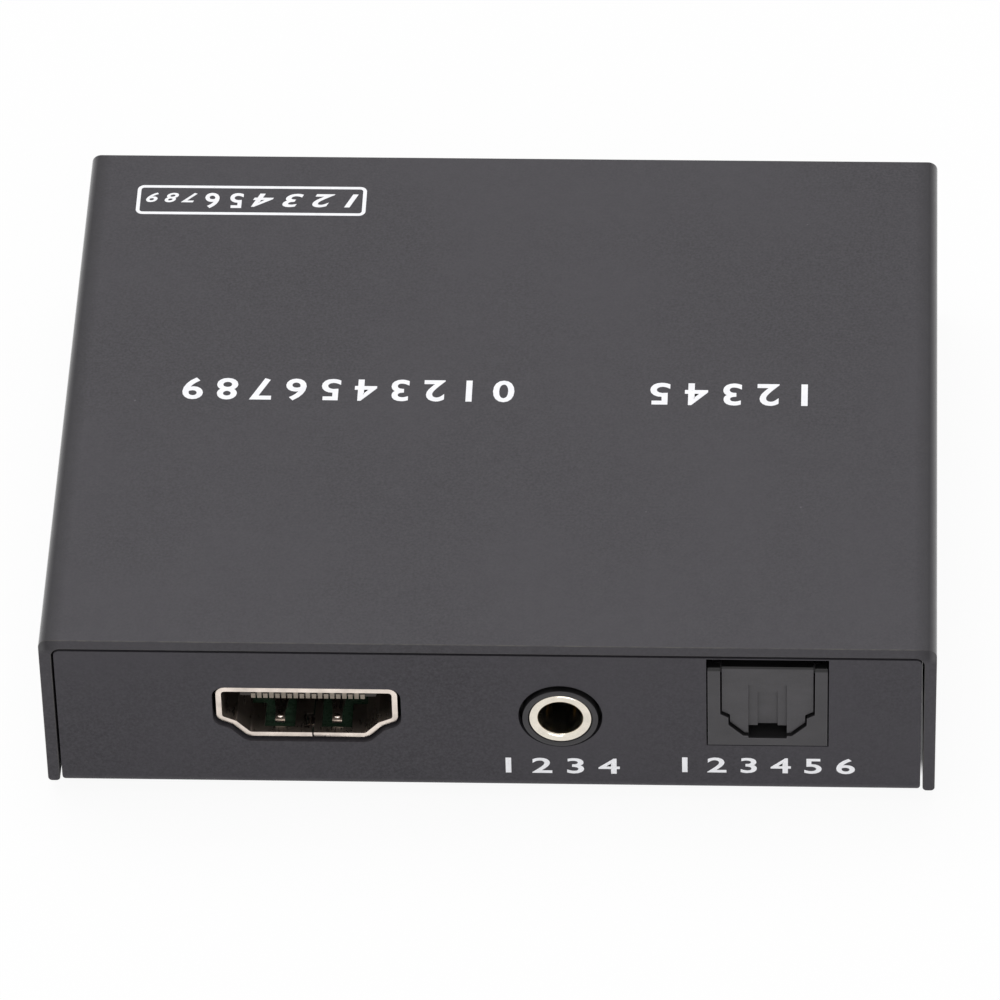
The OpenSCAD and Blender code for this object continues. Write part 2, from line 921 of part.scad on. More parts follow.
// The seam where the folded shell meets itself, with its square key
module seam() {
    key_x = seam_x - seam_key_w;
    key_end = seam_key_y + seam_key_l;
    floor_low = video_floor_z - video_lip_t - over;
    floor_high = video_floor_z + over;
    for (run = [
        [seam_x, seam_x, -over, seam_key_y], [key_x, seam_x, seam_key_y, seam_key_y],
        [key_x, key_x, seam_key_y, key_end], [key_x, seam_x, key_end, key_end],
        [seam_x, seam_x, key_end, video_floor_d + over]
    ])
        translate([run[0] - seam_w / 2, run[2] - seam_w / 2, floor_low])
            cube([run[1] - run[0] + seam_w, run[3] - run[2] + seam_w, floor_high - floor_low]);
}

module video_leg_slots() {
    for (side = [-1, 1], y = leg_places)
        pin_slot(side * (video_open_w + video_shell_t) / 2, y + leg_w / 2, video_shell_t, leg_pin_w);
}

// The socket's moulding: a block that fills the rear of the shell, and the tongue
module video_insulator() {
    difference() {
        union() {
            along_y(video_floor_d + seat_gap, block_rear_y)
                polygon(video_outline(-seat_gap));
            span_box(
                video_foot_w - 2 * seat_gap, video_floor_d + seat_gap, block_rear_y, 0,
                video_floor_z + video_waist_rise
            );
            span_box(video_tongue_w, video_tongue_y, video_floor_d + over, tongue_low, tongue_top);
        }
        contact_slot(tongue_low - contact_t - contact_slack, tongue_low);
        contact_slot(tongue_top, tongue_top + contact_t + contact_slack);
    }
}

// A slot through the block that one row of contacts runs in
module contact_slot(z0, z1) {
    row_w = (contact_count - 1) * video_pitch + contact_w + 2 * contact_slack;
    span_box(row_w, video_floor_d, block_rear_y + over, z0, z1);
}

// Nineteen contacts in two rows, hooked over the tongue's tip and dropped to the board behind it
module video_contacts() {
    for (i = [0 : contact_count - 1])
        translate([(i - (contact_count - 1) / 2) * video_pitch, 0, 0])
            across_x(contact_w)
                contact_profile(i % 2 == 0);
}

module contact_profile(lower) {
    tip_y = video_tongue_y - contact_t;
    rear_y = block_rear_y + contact_slack;
    run_z = lower ? tongue_low - contact_t : tongue_top;
    hook_low = tongue_low - contact_t;
    hook_high = lower ? tongue_low + contact_hook : tongue_top + contact_t;
    translate([tip_y, run_z])
        square([rear_y + contact_t - tip_y, contact_t]);
    translate([tip_y, hook_low])
        square([contact_t, hook_high - hook_low]);
    translate([rear_y, 0])
        square([contact_t, run_z + contact_t]);
    translate([rear_y, 0])
        square([contact_foot, contact_t]);
}

module hdmi_out_shell() {
    color(nickel)
        at_front(video_out_x)
            video_shell();
}

module hdmi_out_insulator() {
    color(black)
        at_front(video_out_x)
            video_insulator();
}

module hdmi_out_contacts() {
    color(gold)
        at_front(video_out_x)
            video_contacts();
}

module hdmi_in_shell() {
    color(nickel)
        at_rear(video_in_x)
            video_shell();
}

module hdmi_in_insulator() {
    color(black)
        at_rear(video_in_x)
            video_insulator();
}

module hdmi_in_contacts() {
    color(gold)
        at_rear(video_in_x)
            video_contacts();
}

// The headphone jack's moulding: a block with a round nose, bored for the bush and the plug
module audio_jack_body() {
    color(dark)
        at_front(jack_x) {
            difference() {
                union() {
                    span_box(jack_w, board_edge_y, jack_d, 0, jack_h);
                    translate([0, 0, jack_axis_z])
                        bar_y(jack_nose_d / 2, -jack_nose_proud, board_edge_y);
                }
                translate([0, 0, jack_axis_z]) {
                    bar_y(jack_bush_d / 2 + pin_gap, -over, jack_bush_end);
                    bar_y(jack_bore_d / 2 + jack_plug_gap, 0, jack_d - jack_wall);
                }
                for (side = [-1, 1])
                    mirror([side > 0 ? 1 : 0, 0, 0])
                        jack_pocket();
            }
            for (share = jack_peg_shares)
                translate([0, jack_d * share, -peg_l])
                    cylinder(h = peg_l + over, d = peg_d);
        }
}

// End of the bush inside the moulding, and the leaves' foot at the rear of the pocket
jack_bush_end = jack_bush_l - jack_bush_proud;
jack_pocket_end = jack_d - 1.4;
jack_foot_x = jack_pocket_x - jack_leaf_t - seat_gap;

// The pocket beside the bore that holds one spring leaf, with the slot for the leaf's tail
module jack_pocket() {
    pocket_low = jack_axis_z - jack_pocket_h / 2;
    translate([-jack_pocket_x, jack_pocket_y, pocket_low])
        cube([jack_pocket_x, jack_pocket_end - jack_pocket_y, jack_pocket_h]);
    translate([-jack_pocket_x, jack_pocket_end - jack_tail_w - 2 * seat_gap, -over])
        cube([jack_leaf_t + 2 * seat_gap, jack_tail_w + 2 * seat_gap, jack_axis_z + over]);
}

module audio_jack_bush() {
    front = -jack_bush_proud;
    chamfer_r = jack_bore_d / 2 + jack_bush_chamfer;
    color(nickel)
        at_front(jack_x)
            translate([0, 0, jack_axis_z])
                difference() {
                    bar_y(jack_bush_d / 2, front, jack_bush_end);
                    bar_y(jack_bore_d / 2, front - over, jack_bush_end + over);
                    translate([0, front, 0])
                        rotate([-90, 0, 0])
                            translate([0, 0, -over])
                                cylinder(
                                    h = jack_bush_chamfer + over, r1 = chamfer_r + over,
                                    r2 = jack_bore_d / 2
                                );
                }
}

// The two spring leaves of the jack, each bent into the bore, with a tail through the board
module audio_jack_contacts() {
    color(gold)
        at_front(jack_x)
            for (side = [0, 1])
                mirror([side, 0, 0])
                    jack_leaf();
}

module jack_leaf() {
    bend_x = jack_bore_d / 2 + jack_plug_gap - jack_leaf_reach;
    middle_y = (jack_pocket_y + jack_pocket_end) / 2;
    tip_y = jack_pocket_y + 2 * seat_gap;
    foot_y = jack_pocket_end - seat_gap;
    foot_x = jack_foot_x;
    translate([0, 0, jack_axis_z - jack_leaf_h / 2])
        linear_extrude(jack_leaf_h)
            polygon([
                [-foot_x - jack_leaf_t, foot_y], [-foot_x - jack_leaf_t, foot_y - jack_tail_w],
                [-bend_x - jack_leaf_t, middle_y], [-bend_x - jack_leaf_open - jack_leaf_t, tip_y],
                [-bend_x - jack_leaf_open, tip_y], [-bend_x, middle_y],
                [-foot_x, foot_y - jack_tail_w], [-foot_x, foot_y]
            ]);
    translate([-foot_x - jack_leaf_t, foot_y - jack_tail_w, -pin_l])
        cube([jack_leaf_t, jack_tail_w, pin_l + jack_axis_z]);
}

module jack_board_holes() {
    for (share = jack_peg_shares)
        pin_hole(0, jack_d * share, peg_d + 2 * peg_gap);
    for (side = [-1, 1])
        pin_slot(
            side * (jack_foot_x + jack_leaf_t / 2), jack_pocket_end - seat_gap - jack_tail_w / 2,
            jack_leaf_t, jack_tail_w
        );
}

// The optical socket's moulded housing: mouth, plug cavity, hinge seats, latch windows and pegs
module optical_housing() {
    color(dark)
        at_front(optical_x) {
            difference() {
                union() {
                    span_box(optical_w, 0, optical_d, 0, optical_frame_h);
                    span_box(optical_w, recess_y, optical_d, 0, optical_h);
                    span_box(bar_w, bar_y, recess_y + over, bar_low_z, bar_top_z);
                    span_box(boss_w, bar_y, recess_y + over, bar_low_z, bar_top_z + boss_h);
                }
                along_y(-over, bar_y)
                    polygon(shutter_outline(shutter_gap, optical_h + over));
                along_y(bar_y - seat_gap, plug_depth)
                    polygon(shutter_outline(shutter_gap, bar_low_z));
                span_box(channel_w, -over, plug_depth, slot_floor_z, shutter_slope_z);
                hinge_seats();
                spring_slot();
                latch_windows();
                translate([0, 0, optical_axis_z])
                    bar_y(ferrule_d / 2, plug_depth - over, emitter_y + over);
                span_box(
                    emitter_w + 2 * seat_gap, emitter_y, optical_d + over, -over,
                    emitter_h + seat_gap
                );
            }
            for (side = [-1, 1])
                translate([side * optical_peg_x, optical_peg_y, -peg_l])
                    cylinder(h = peg_l + shutter_foot_z / 2, d = optical_peg_d);
        }
}

// Round seats for the shutter's journals, each with a narrower slot that it snaps in through
module hinge_seats() {
    half = shutter_w / 2 + shutter_gap + journal_l;
    translate([0, hinge_y, hinge_z])
        rotate([0, 90, 0])
            cylinder(h = 2 * half, r = journal_r + pin_gap, center = true);
    span_box(2 * half, hinge_y - journal_r * 0.8, hinge_y + journal_r * 0.8, hinge_z, optical_h);
}

// Slot in the roof's front boss for the spring's rear leg, and groove in the roof for its front leg
module spring_slot() {
    groove_top = hinge_z + coil_r + wire_r + shutter_gap;
    translate([coil_w / 2 - spring_slot_w, bar_y - over, bar_low_z - over])
        cube([spring_slot_w + over, recess_y - bar_y + over, optical_h]);
    translate([-coil_w / 2, bar_y - over, bar_low_z - over])
        cube([spring_slot_w, hinge_y + spring_front_l + over - bar_y, groove_top - bar_low_z + over]);
}

module latch_windows() {
    span_box(optical_w + 2 * over, latch_y, latch_y + latch_l, latch_z, latch_z + latch_h);
}

module optical_board_holes() {
    for (side = [-1, 1])
        pin_hole(side * optical_peg_x, optical_peg_y, optical_peg_d + 2 * peg_gap);
    for (i = [0 : lead_count - 1])
        pin_slot((i - (lead_count - 1) / 2) * lead_pitch, lead_y, lead_w, lead_t);
}

// Depth of the emitter's leads behind the panel's face
lead_y = emitter_y + emitter_d / 2;

// The spring-loaded flap: stepped outline, hinge barrel, journals and the key channel
module optical_shutter() {
    half = shutter_w / 2;
    color(dark)
        at_front(optical_x)
            difference() {
                union() {
                    along_y(shutter_face_y, shutter_face_y + shutter_t)
                        polygon(shutter_outline(0, hinge_z));
                    along_y(shutter_face_y, hinge_y)
                        polygon(shutter_outline(0, shutter_top_z));
                    translate([0, hinge_y, hinge_z])
                        rotate([0, 90, 0]) {
                            cylinder(h = shutter_w, r = hinge_r, center = true);
                            cylinder(h = shutter_w + 2 * journal_l, r = journal_r, center = true);
                        }
                }
                span_box(
                    channel_w, shutter_face_y - over, shutter_face_y + channel_d, -over,
                    channel_top_z
                );
                span_box(
                    key_w, shutter_face_y - over, shutter_face_y + channel_d + key_d, -over,
                    key_top_z
                );
                span_box(channel_w, shutter_face_y - over, shutter_face_y + shutter_t + over,
                    -over, shutter_notch_z);
                coil_pocket();
            }
}

// Ring-shaped pocket round the barrel's core that the coil winds in, open to the rear
module coil_pocket() {
    translate([0, hinge_y, hinge_z])
        difference() {
            union() {
                rotate([0, 90, 0])
                    cylinder(h = coil_w, r = coil_pocket_r, center = true);
                span_box(coil_w, shutter_t - hinge_r, hinge_r + over, -hinge_r - over, coil_pocket_r);
            }
            rotate([0, 90, 0])
                cylinder(h = coil_w + over, r = coil_core_r, center = true);
        }
}

// Centre line of the spring: a leg behind the flap, the coil, and a leg toward the roof
function spring_path() =
    let (
        start_x = -coil_pitch * coil_turns / 2,
        steps = coil_turns * coil_steps + coil_steps / 4,
        coil = [
            for (i = [0 : steps])
                let (angle = 360 * i / coil_steps)
                    [
                        start_x + coil_pitch * i / coil_steps, coil_r * cos(angle),
                        coil_r * sin(angle)
                    ]
        ],
        last = coil[steps]
    )
        concat(
            [[start_x, coil_r, -spring_front_l]], coil,
            [[last[0], last[1] + spring_back_l, last[2]]]
        );

// Tube of the given radius along a path, with its rings square to the path
module wire(path, r, sides) {
    last = len(path) - 1;
    function heading(i) = unit(path[min(i + 1, last)] - path[max(i - 1, 0)]);
    rings = [
        for (i = [0 : last])
            let (
                along = heading(i), across = unit(cross(along, [1, 0.01, 0.02])),
                up = cross(along, across)
            )
                for (k = [0 : sides - 1])
                    path[i] + r * (across * cos(360 * k / sides) + up * sin(360 * k / sides))
    ];
    faces = [
        for (i = [0 : last - 1], k = [0 : sides - 1])
            let (next = (k + 1) % sides)
                each [
                    [i * sides + k, i * sides + next, (i + 1) * sides + next],
                    [i * sides + k, (i + 1) * sides + next, (i + 1) * sides + k]
                ]
    ];
    start_cap = [for (k = [0 : sides - 1]) sides - 1 - k];
    end_cap = [for (k = [0 : sides - 1]) last * sides + k];
    polyhedron(points = rings, faces = concat([start_cap, end_cap], faces));
}

module shutter_spring() {
    color(steel)
        at_front(optical_x)
            translate([0, hinge_y, hinge_z])
                wire(spring_path(), wire_r, wire_sides);
}

// The light source: a moulded block with a lens that looks into the ferrule's bore
module optical_emitter() {
    color(black)
        at_front(optical_x) {
            span_box(emitter_w, emitter_y + seat_gap, emitter_y + emitter_d, slot_gap, emitter_h);
            intersection() {
                translate([0, emitter_y + lens_r - lens_reach, optical_axis_z])
                    sphere(lens_r);
                span_box(emitter_w, emitter_y - lens_r, emitter_y + over, 0, emitter_h);
            }
        }
}

module optical_leads() {
    color(steel)
        at_front(optical_x)
            for (i = [0 : lead_count - 1])
                translate([(i - (lead_count - 1) / 2) * lead_pitch, lead_y, 0])
                    span_box(lead_w, -lead_t / 2, lead_t / 2, -pin_l, slot_gap);
}

// The power jack's moulding, bored for the plug's sleeve round the pin
module power_jack_body() {
    color(dark)
        at_rear(power_x)
            difference() {
                union() {
                    span_box(power_w, board_edge_y, power_d, 0, power_h);
                    translate([0, 0, power_axis_z])
                        bar_y(power_nose_d / 2, power_nose_y, board_edge_y);
                }
                translate([0, 0, power_axis_z]) {
                    bar_y(power_bore_d / 2, -over, power_bore_l);
                    bar_y(power_root_r + pin_gap, power_bore_l - over, power_d + over);
                }
                power_pocket();
            }
}

// The pocket beside the bore for the sleeve's spring leaf, open downward for its tail
module power_pocket() {
    depth = power_bore_d / 2 + power_pocket_d;
    translate([-depth, power_pocket_y, power_axis_z - power_tail_w / 2 - seat_gap])
        cube([depth, power_bore_l - power_pocket_y, power_tail_w + 2 * seat_gap]);
    translate([-depth, power_bore_l - power_tail_w - 2 * seat_gap, -over])
        cube([power_leaf_t + 2 * seat_gap, power_tail_w + 2 * seat_gap, power_axis_z + over]);
}

// The pin with its thicker root and the tail behind the moulding
module power_jack_pin() {
    pin_r = power_pin_d / 2;
    tip = power_pin_y + power_pin_chamfer;
    color(nickel)
        at_rear(power_x) {
            translate([0, 0, power_axis_z]) {
                bar_y(pin_r, tip, power_bore_l + over);
                bar_y(power_root_r, power_bore_l, power_d + power_tail_t);
                translate([0, power_pin_y, 0])
                    rotate([-90, 0, 0])
                        cylinder(h = power_pin_chamfer, r1 = pin_r - power_pin_chamfer, r2 = pin_r);
            }
            span_box(
                power_tail_w, power_d + seat_gap, power_d + seat_gap + power_tail_t, -pin_l,
                power_axis_z + power_root_r
            );
        }
}

module power_jack_contact() {
    foot_x = power_bore_d / 2 + power_pocket_d - power_leaf_t - seat_gap;
    bend_x = power_bore_d / 2 - power_leaf_reach;
    foot_y = power_bore_l - seat_gap;
    bend_y = (power_pocket_y + power_bore_l) / 2;
    tip_y = power_pocket_y + 2 * seat_gap;
    color(gold)
        at_rear(power_x) {
            translate([0, 0, power_axis_z - power_tail_w / 2])
                linear_extrude(power_tail_w)
                    polygon([
                        [-foot_x - power_leaf_t, foot_y],
                        [-foot_x - power_leaf_t, foot_y - power_tail_w],
                        [-bend_x - power_leaf_t, bend_y],
                        [-foot_x - power_leaf_t, tip_y], [-foot_x, tip_y], [-bend_x, bend_y],
                        [-foot_x, foot_y - power_tail_w], [-foot_x, foot_y]
                    ]);
            translate([-foot_x - power_leaf_t, foot_y - power_tail_w, -pin_l])
                cube([power_leaf_t, power_tail_w, pin_l + power_axis_z]);
        }
}

module power_board_holes() {
    foot_x = power_bore_d / 2 + power_pocket_d - power_leaf_t - seat_gap;
    pin_slot(
        -foot_x - power_leaf_t / 2, power_bore_l - seat_gap - power_tail_w / 2, power_leaf_t,
        power_tail_w
    );
    pin_slot(0, power_d + seat_gap + power_tail_t / 2, power_tail_w, power_tail_t);
}

// The switch's folded frame: front plate with the knob's slot, top plate and two side plates
module mode_switch_frame() {
    rear_y = switch_base_y + switch_base_d;
    side_x = (switch_frame_w - switch_frame_t) / 2;
    color(steel)
        at_rear(switch_x) {
            difference() {
                span_box(switch_frame_w, switch_frame_y, switch_base_y - seat_gap, 0, frame_top);
                span_box(
                    switch_stem_w + 2 * (switch_travel + switch_slot_gap), switch_frame_y - over,
                    switch_base_y + over, switch_axis_z - switch_stem_h / 2 - switch_slide_gap,
                    switch_axis_z + switch_stem_h / 2 + switch_slide_gap
                );
            }
            span_box(switch_frame_w, switch_frame_y, rear_y, frame_top - switch_frame_t, frame_top);
            for (side = [-1, 1])
                translate([side * side_x, 0, 0]) {
                    span_box(switch_frame_t, switch_frame_y, rear_y, switch_h / 2, frame_top);
                    span_box(
                        switch_frame_t, (switch_frame_y + rear_y - switch_leg_w) / 2,
                        (switch_frame_y + rear_y + switch_leg_w) / 2, -pin_l, frame_top
                    );
                }
        }
}

// Top of the switch's frame above the board
frame_top = switch_h + seat_gap + switch_frame_t;

// The moulded base with the slider's cavity and the terminals' grooves
module mode_switch_base() {
    half_h = switch_slider_h / 2 + switch_slide_gap;
    color(black)
        at_rear(switch_x)
            difference() {
                span_box(switch_base_w, switch_base_y, switch_base_y + switch_base_d, 0, switch_h);
                span_box(
                    switch_cavity_w, switch_base_y - over, switch_base_y + switch_cavity_d,
                    switch_axis_z - half_h, switch_axis_z + half_h
                );
                at_terminals()
                    span_box(
                        terminal_w + 2 * seat_gap, -over, terminal_t + seat_gap, -over,
                        terminal_h + seat_gap
                    );
            }
}

// Each terminal, with y = 0 at the rear wall of the slider's cavity
module at_terminals() {
    for (i = [0 : terminal_count - 1])
        translate([
            (i - (terminal_count - 1) / 2) * terminal_pitch, switch_base_y + switch_cavity_d, 0
        ])
            children();
}

module mode_switch_terminals() {
    color(gold)
        at_rear(switch_x)
            at_terminals()
                span_box(terminal_w, 0, terminal_t, -pin_l, terminal_h);
}

// The knob: a slider in the base's cavity and a stem out through the panel
module mode_switch_knob() {
    slider_y = switch_base_y + switch_slide_gap;
    tip_y = -switch_proud;
    color(black)
        at_rear(switch_x)
            translate([0, 0, switch_axis_z]) {
                span_box(
                    switch_slider_w, slider_y, slider_y + switch_slider_d, -switch_slider_h / 2,
                    switch_slider_h / 2
                );
                span_box(
                    switch_stem_w, tip_y + switch_tip_chamfer, slider_y + over, -switch_stem_h / 2,
                    switch_stem_h / 2
                );
                across_x(switch_stem_w)
                    polygon([
                        [tip_y, switch_tip_chamfer - switch_stem_h / 2],
                        [tip_y + switch_tip_chamfer, -switch_stem_h / 2],
                        [tip_y + switch_tip_chamfer, switch_stem_h / 2],
                        [tip_y, switch_stem_h / 2 - switch_tip_chamfer]
                    ]);
            }
}

// The bridging clip on the slider's rear face, with two contact bumps toward the terminals
module mode_switch_wiper() {
    face_y = switch_base_y + switch_slide_gap + switch_slider_d;
    color(gold)
        at_rear(switch_x)
            translate([0, 0, switch_axis_z]) {
                span_box(wiper_w, face_y, face_y + wiper_t, -wiper_h / 2, wiper_h / 2);
                for (side = [-1, 1])
                    translate([side * terminal_pitch / 2, 0, 0])
                        bar_y(wiper_bump_r, face_y + wiper_t / 2, face_y + wiper_t + wiper_bump);
            }
}

module switch_board_holes() {
    side_x = (switch_frame_w - switch_frame_t) / 2;
    middle_y = (switch_frame_y + switch_base_y + switch_base_d) / 2;
    for (side = [-1, 1])
        pin_slot(side * side_x, middle_y, switch_frame_t, switch_leg_w);
    for (i = [0 : terminal_count - 1])
        pin_slot(
            (i - (terminal_count - 1) / 2) * terminal_pitch,
            switch_base_y + switch_cavity_d + terminal_t / 2, terminal_w, terminal_t
        );
}

// The lamp: a round lens in the panel's hole, with a flange at its rear
module status_lamp() {
    lamp_r = lamp_d / 2;
    color([0.75, 0.2, 0.15])
        at_rear(lamp_x)
            translate([0, 0, lamp_axis_z])
                rotate([-90, 0, 0])
                    rotate_extrude()
                        polygon(concat(
                            [[0, lamp_tip_y + lamp_body_l], [0, lamp_tip_y]],
                            [
                                for (k = [1 : 2 * corner_steps])
                                    let (angle = 90 * k / (2 * corner_steps))
                                        [
                                            lamp_r * sin(angle),
                                            lamp_tip_y + lamp_r * (1 - cos(angle))
                                        ]
                            ],
                            [
                                [lamp_r, lamp_tip_y + lamp_body_l - lamp_flange_l],
                                [lamp_flange_r, lamp_tip_y + lamp_body_l - lamp_flange_l],
                                [lamp_flange_r, lamp_tip_y + lamp_body_l]
                            ]
                        ));
}

module status_lamp_leads() {
    back_y = lamp_tip_y + lamp_body_l;
    color(steel)
        at_rear(lamp_x)
            for (side = [-1, 1])
                translate([side * lamp_lead_x, 0, 0]) {
                    span_box(
                        lamp_lead_t, back_y, back_y + lamp_lead_run, lamp_axis_z - lamp_lead_t / 2,
                        lamp_axis_z + lamp_lead_t / 2
                    );
                    span_box(
                        lamp_lead_t, back_y + lamp_lead_run - lamp_lead_t, back_y + lamp_lead_run,
                        -pin_l, lamp_axis_z + lamp_lead_t / 2
                    );
                }
}

module lamp_board_holes() {
    y = lamp_tip_y + lamp_body_l + lamp_lead_run - lamp_lead_t / 2;
    for (side = [-1, 1])
        pin_slot(side * lamp_lead_x, y, lamp_lead_t, lamp_lead_t);
}

// A piece on the board, at shares of the board's width and depth from its middle
module on_board(shares) {
    translate([shares[0] * board_w, shares[1] * board_d, board_top])
        children();
}

module block(width, depth, z0, z1) {
    translate([-width / 2, -depth / 2, z0])
        cube([width, depth, z1 - z0]);
}

// A box with chamfered upper edges, as a moulded chip body has
module chip_body(width, depth, z0, z1) {
    edge = (z1 - z0) * leg_share;
    difference() {
        block(width, depth, z0, z1);
        for (turn = [0, 1])
            rotate([0, 0, 90 * turn])
                for (side = [0, 1])
                    mirror([0, side, 0])
                        translate([0, (turn == 0 ? depth : width) / 2, z1])
                            rotate([45, 0, 0])
                                cube([width + depth, edge, edge], center = true);
    }
}

module video_chip() {
    color(black)
        on_board(video_chip_shares)
            block(video_chip_w, video_chip_w, 0, video_chip_h);
}

module thermal_pad() {
    color([0.55, 0.6, 0.7])
        on_board(video_chip_shares)
            block(pad_w, pad_w, video_chip_h, video_chip_h + pad_t);
}

module heatsink() {
    base_z = video_chip_h + pad_t;
    pitch = (heatsink_w - fin_t) / (fin_count - 1);
    color(steel)
        on_board(video_chip_shares) {
            block(heatsink_w, heatsink_w, base_z, base_z + heatsink_base_h);
            for (i = [0 : fin_count - 1])
                translate([i * pitch - (heatsink_w - fin_t) / 2, 0, 0])
                    block(fin_t, heatsink_w, base_z, base_z + heatsink_h);
        }
}

module audio_chip() {
    color(black)
        on_board(audio_chip_shares)
            chip_body(audio_chip_l, audio_chip_w, chip_lift, chip_lift + audio_chip_h);
}

module control_chip() {
    color(black)
        on_board(control_chip_shares)
            chip_body(control_chip_w, control_chip_w, chip_lift, chip_lift + control_chip_h);
}

// One row of bent legs along X, rooted at y = 0 and reaching toward +Y
module leg_row(count, pitch, root_z) {
    for (i = [0 : count - 1])
        translate([(i - (count - 1) / 2) * pitch, 0, 0])
            across_x(pitch * leg_share)
                polygon([
                    [0, root_z], [0, root_z + leg_t],
                    [leg_reach - leg_foot + leg_t, root_z + leg_t],
                    [leg_reach - leg_foot + leg_t, leg_t], [leg_reach, leg_t], [leg_reach, 0],
                    [leg_reach - leg_foot, 0], [leg_reach - leg_foot, root_z]
                ]);
}

module chip_legs() {
    color(steel) {
        on_board(audio_chip_shares)
            for (turn = [0, 180])
                rotate([0, 0, turn])
                    translate([0, audio_chip_w / 2, 0])
                        leg_row(audio_leg_count, audio_leg_pitch, audio_chip_h * leg_share);
        on_board(control_chip_shares)
            for (turn = [0 : 90 : 270])
                rotate([0, 0, turn])
                    translate([0, control_chip_w / 2, 0])
                        leg_row(control_leg_count, control_leg_pitch, control_chip_h * leg_share);
    }
}

module voltage_regulator() {
    color(black)
        on_board(regulator_shares)
            chip_body(regulator_w, regulator_d, 0, regulator_h);
}

// A shielded choke: a square block with a round core in a ring-shaped groove
module power_inductor() {
    color([0.3, 0.3, 0.32])
        on_board(inductor_shares)
            difference() {
                block(inductor_w, inductor_w, 0, inductor_h);
                translate([0, 0, inductor_h - inductor_groove / 2])
                    difference() {
                        cylinder(h = inductor_h, d = inductor_core_d);
                        translate([0, 0, -over])
                            cylinder(h = inductor_h + 2 * over, d = inductor_core_d - inductor_groove / 2);
                    }
            }
}

// A metal can with round ends on a thin flange
module crystal_can() {
    color(steel)
        on_board(crystal_shares) {
            linear_extrude(crystal_flange)
                long_round(crystal_l, crystal_w);
            linear_extrude(crystal_h)
                long_round(crystal_l - 2 * crystal_flange, crystal_w - 2 * crystal_flange);
        }
}

// A flat shape with half-round ends, its length along Y
module long_round(length, width) {
    square([width, length - width], center = true);
    for (end = [-1, 1])
        translate([0, end * (length - width) / 2])
            circle(d = width);
}

// Aluminium cans with a rolled groove and a rounded crown, standing on moulded bases
module capacitor_cans() {
    color(steel)
        for (place = can_shares)
            on_board(place)
                rotate_extrude()
                    difference() {
                        translate([0, can_base_h])
                            square([can_d / 2, can_h - can_base_h]);
                        translate([can_d / 2, can_h])
                            rotate(180)
                                round_off(can_edge_r);
                        translate([can_d / 2 + can_groove / 2, can_groove_z])
                            circle(can_groove);
                    }
}

module capacitor_bases() {
    color(black)
        for (place = can_shares)
            on_board(place)
                block(can_base_w, can_base_w, 0, can_base_h);
}

module ceramic_capacitors() {
    color([0.72, 0.6, 0.42])
        for (place = ceramic_shares)
            on_board(place)
                block(chip_w, chip_l, 0, ceramic_h);
}

module chip_resistors() {
    color(black)
        for (place = resistor_shares)
            on_board(place)
                block(chip_w, chip_w, 0, resistor_h);
}

top_cover();
base_tray();
cover_screws();
board_standoffs();
board_screws();
rubber_feet();
circuit_board();
hdmi_out_shell();
hdmi_out_insulator();
hdmi_out_contacts();
hdmi_in_shell();
hdmi_in_insulator();
hdmi_in_contacts();
audio_jack_body();
audio_jack_bush();
audio_jack_contacts();
optical_housing();
optical_shutter();
shutter_spring();
optical_emitter();
optical_leads();
power_jack_body();
power_jack_pin();
power_jack_contact();
mode_switch_frame();
mode_switch_base();
mode_switch_terminals();
mode_switch_knob();
mode_switch_wiper();
status_lamp();
status_lamp_leads();
video_chip();
thermal_pad();
heatsink();
audio_chip();
control_chip();
chip_legs();
voltage_regulator();
power_inductor();
crystal_can();
capacitor_cans();
capacitor_bases();
ceramic_capacitors();
chip_resistors();
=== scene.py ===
"""Looks of a small audio extractor box: paint, plating, moulded plastics, white print and a studio."""

import math

import bmesh
import bpy
import numpy as np
from mathutils import Matrix, Vector


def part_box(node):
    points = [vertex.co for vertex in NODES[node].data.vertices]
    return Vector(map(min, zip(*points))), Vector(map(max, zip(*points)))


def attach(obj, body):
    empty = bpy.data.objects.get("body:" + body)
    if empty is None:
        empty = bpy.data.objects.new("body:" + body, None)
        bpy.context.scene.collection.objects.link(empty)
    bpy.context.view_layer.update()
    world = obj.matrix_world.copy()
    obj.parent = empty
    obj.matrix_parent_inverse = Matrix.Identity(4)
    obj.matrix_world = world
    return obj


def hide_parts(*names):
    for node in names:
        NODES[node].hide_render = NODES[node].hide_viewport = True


bl_info = {
    "name": "Audio Extractor Looks",
    "version": (1, 0, 0),
    "blender": (4, 5, 0),
    "location": "3D View > Sidebar > Extractor",
    "description": "Finishes the packed audio extractor and sets its studio",
    "category": "Object",
}

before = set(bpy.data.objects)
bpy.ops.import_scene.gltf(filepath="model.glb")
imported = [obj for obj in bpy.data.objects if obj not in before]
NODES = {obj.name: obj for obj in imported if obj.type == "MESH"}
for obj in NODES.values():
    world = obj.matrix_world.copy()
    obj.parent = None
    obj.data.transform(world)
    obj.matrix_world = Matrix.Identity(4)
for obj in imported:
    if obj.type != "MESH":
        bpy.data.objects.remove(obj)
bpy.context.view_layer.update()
MM = 0.001

# Points closer than this are one point; edges flatter than the first angle are dissolved, and edges sharper
# than the second are rounded or shaded as corners
MERGE = 1e-6
FLAT_ANGLE = math.radians(1)
SHARP_ANGLE = math.radians(32)

# White of the studio, the colour painted where places lie in deep shadow, and the brown-black painted as
# shade on the nickel behind a socket's mouth
WHITE = (1.0, 1.0, 1.0, 1.0)
SHADOW = (0.002, 0.002, 0.002, 1)
SOCKET_SHADE = (0.1, 0.075, 0.06, 1)

# Outer radius of the cover's bends in the CAD model, the tighter corner that the photograph shows, and how
# far a point may lie from the bend to be taken as on it
COVER_BEND = 1.8 * MM
COVER_CORNER = 0.85 * MM
BEND_SLACK = 0.02 * MM
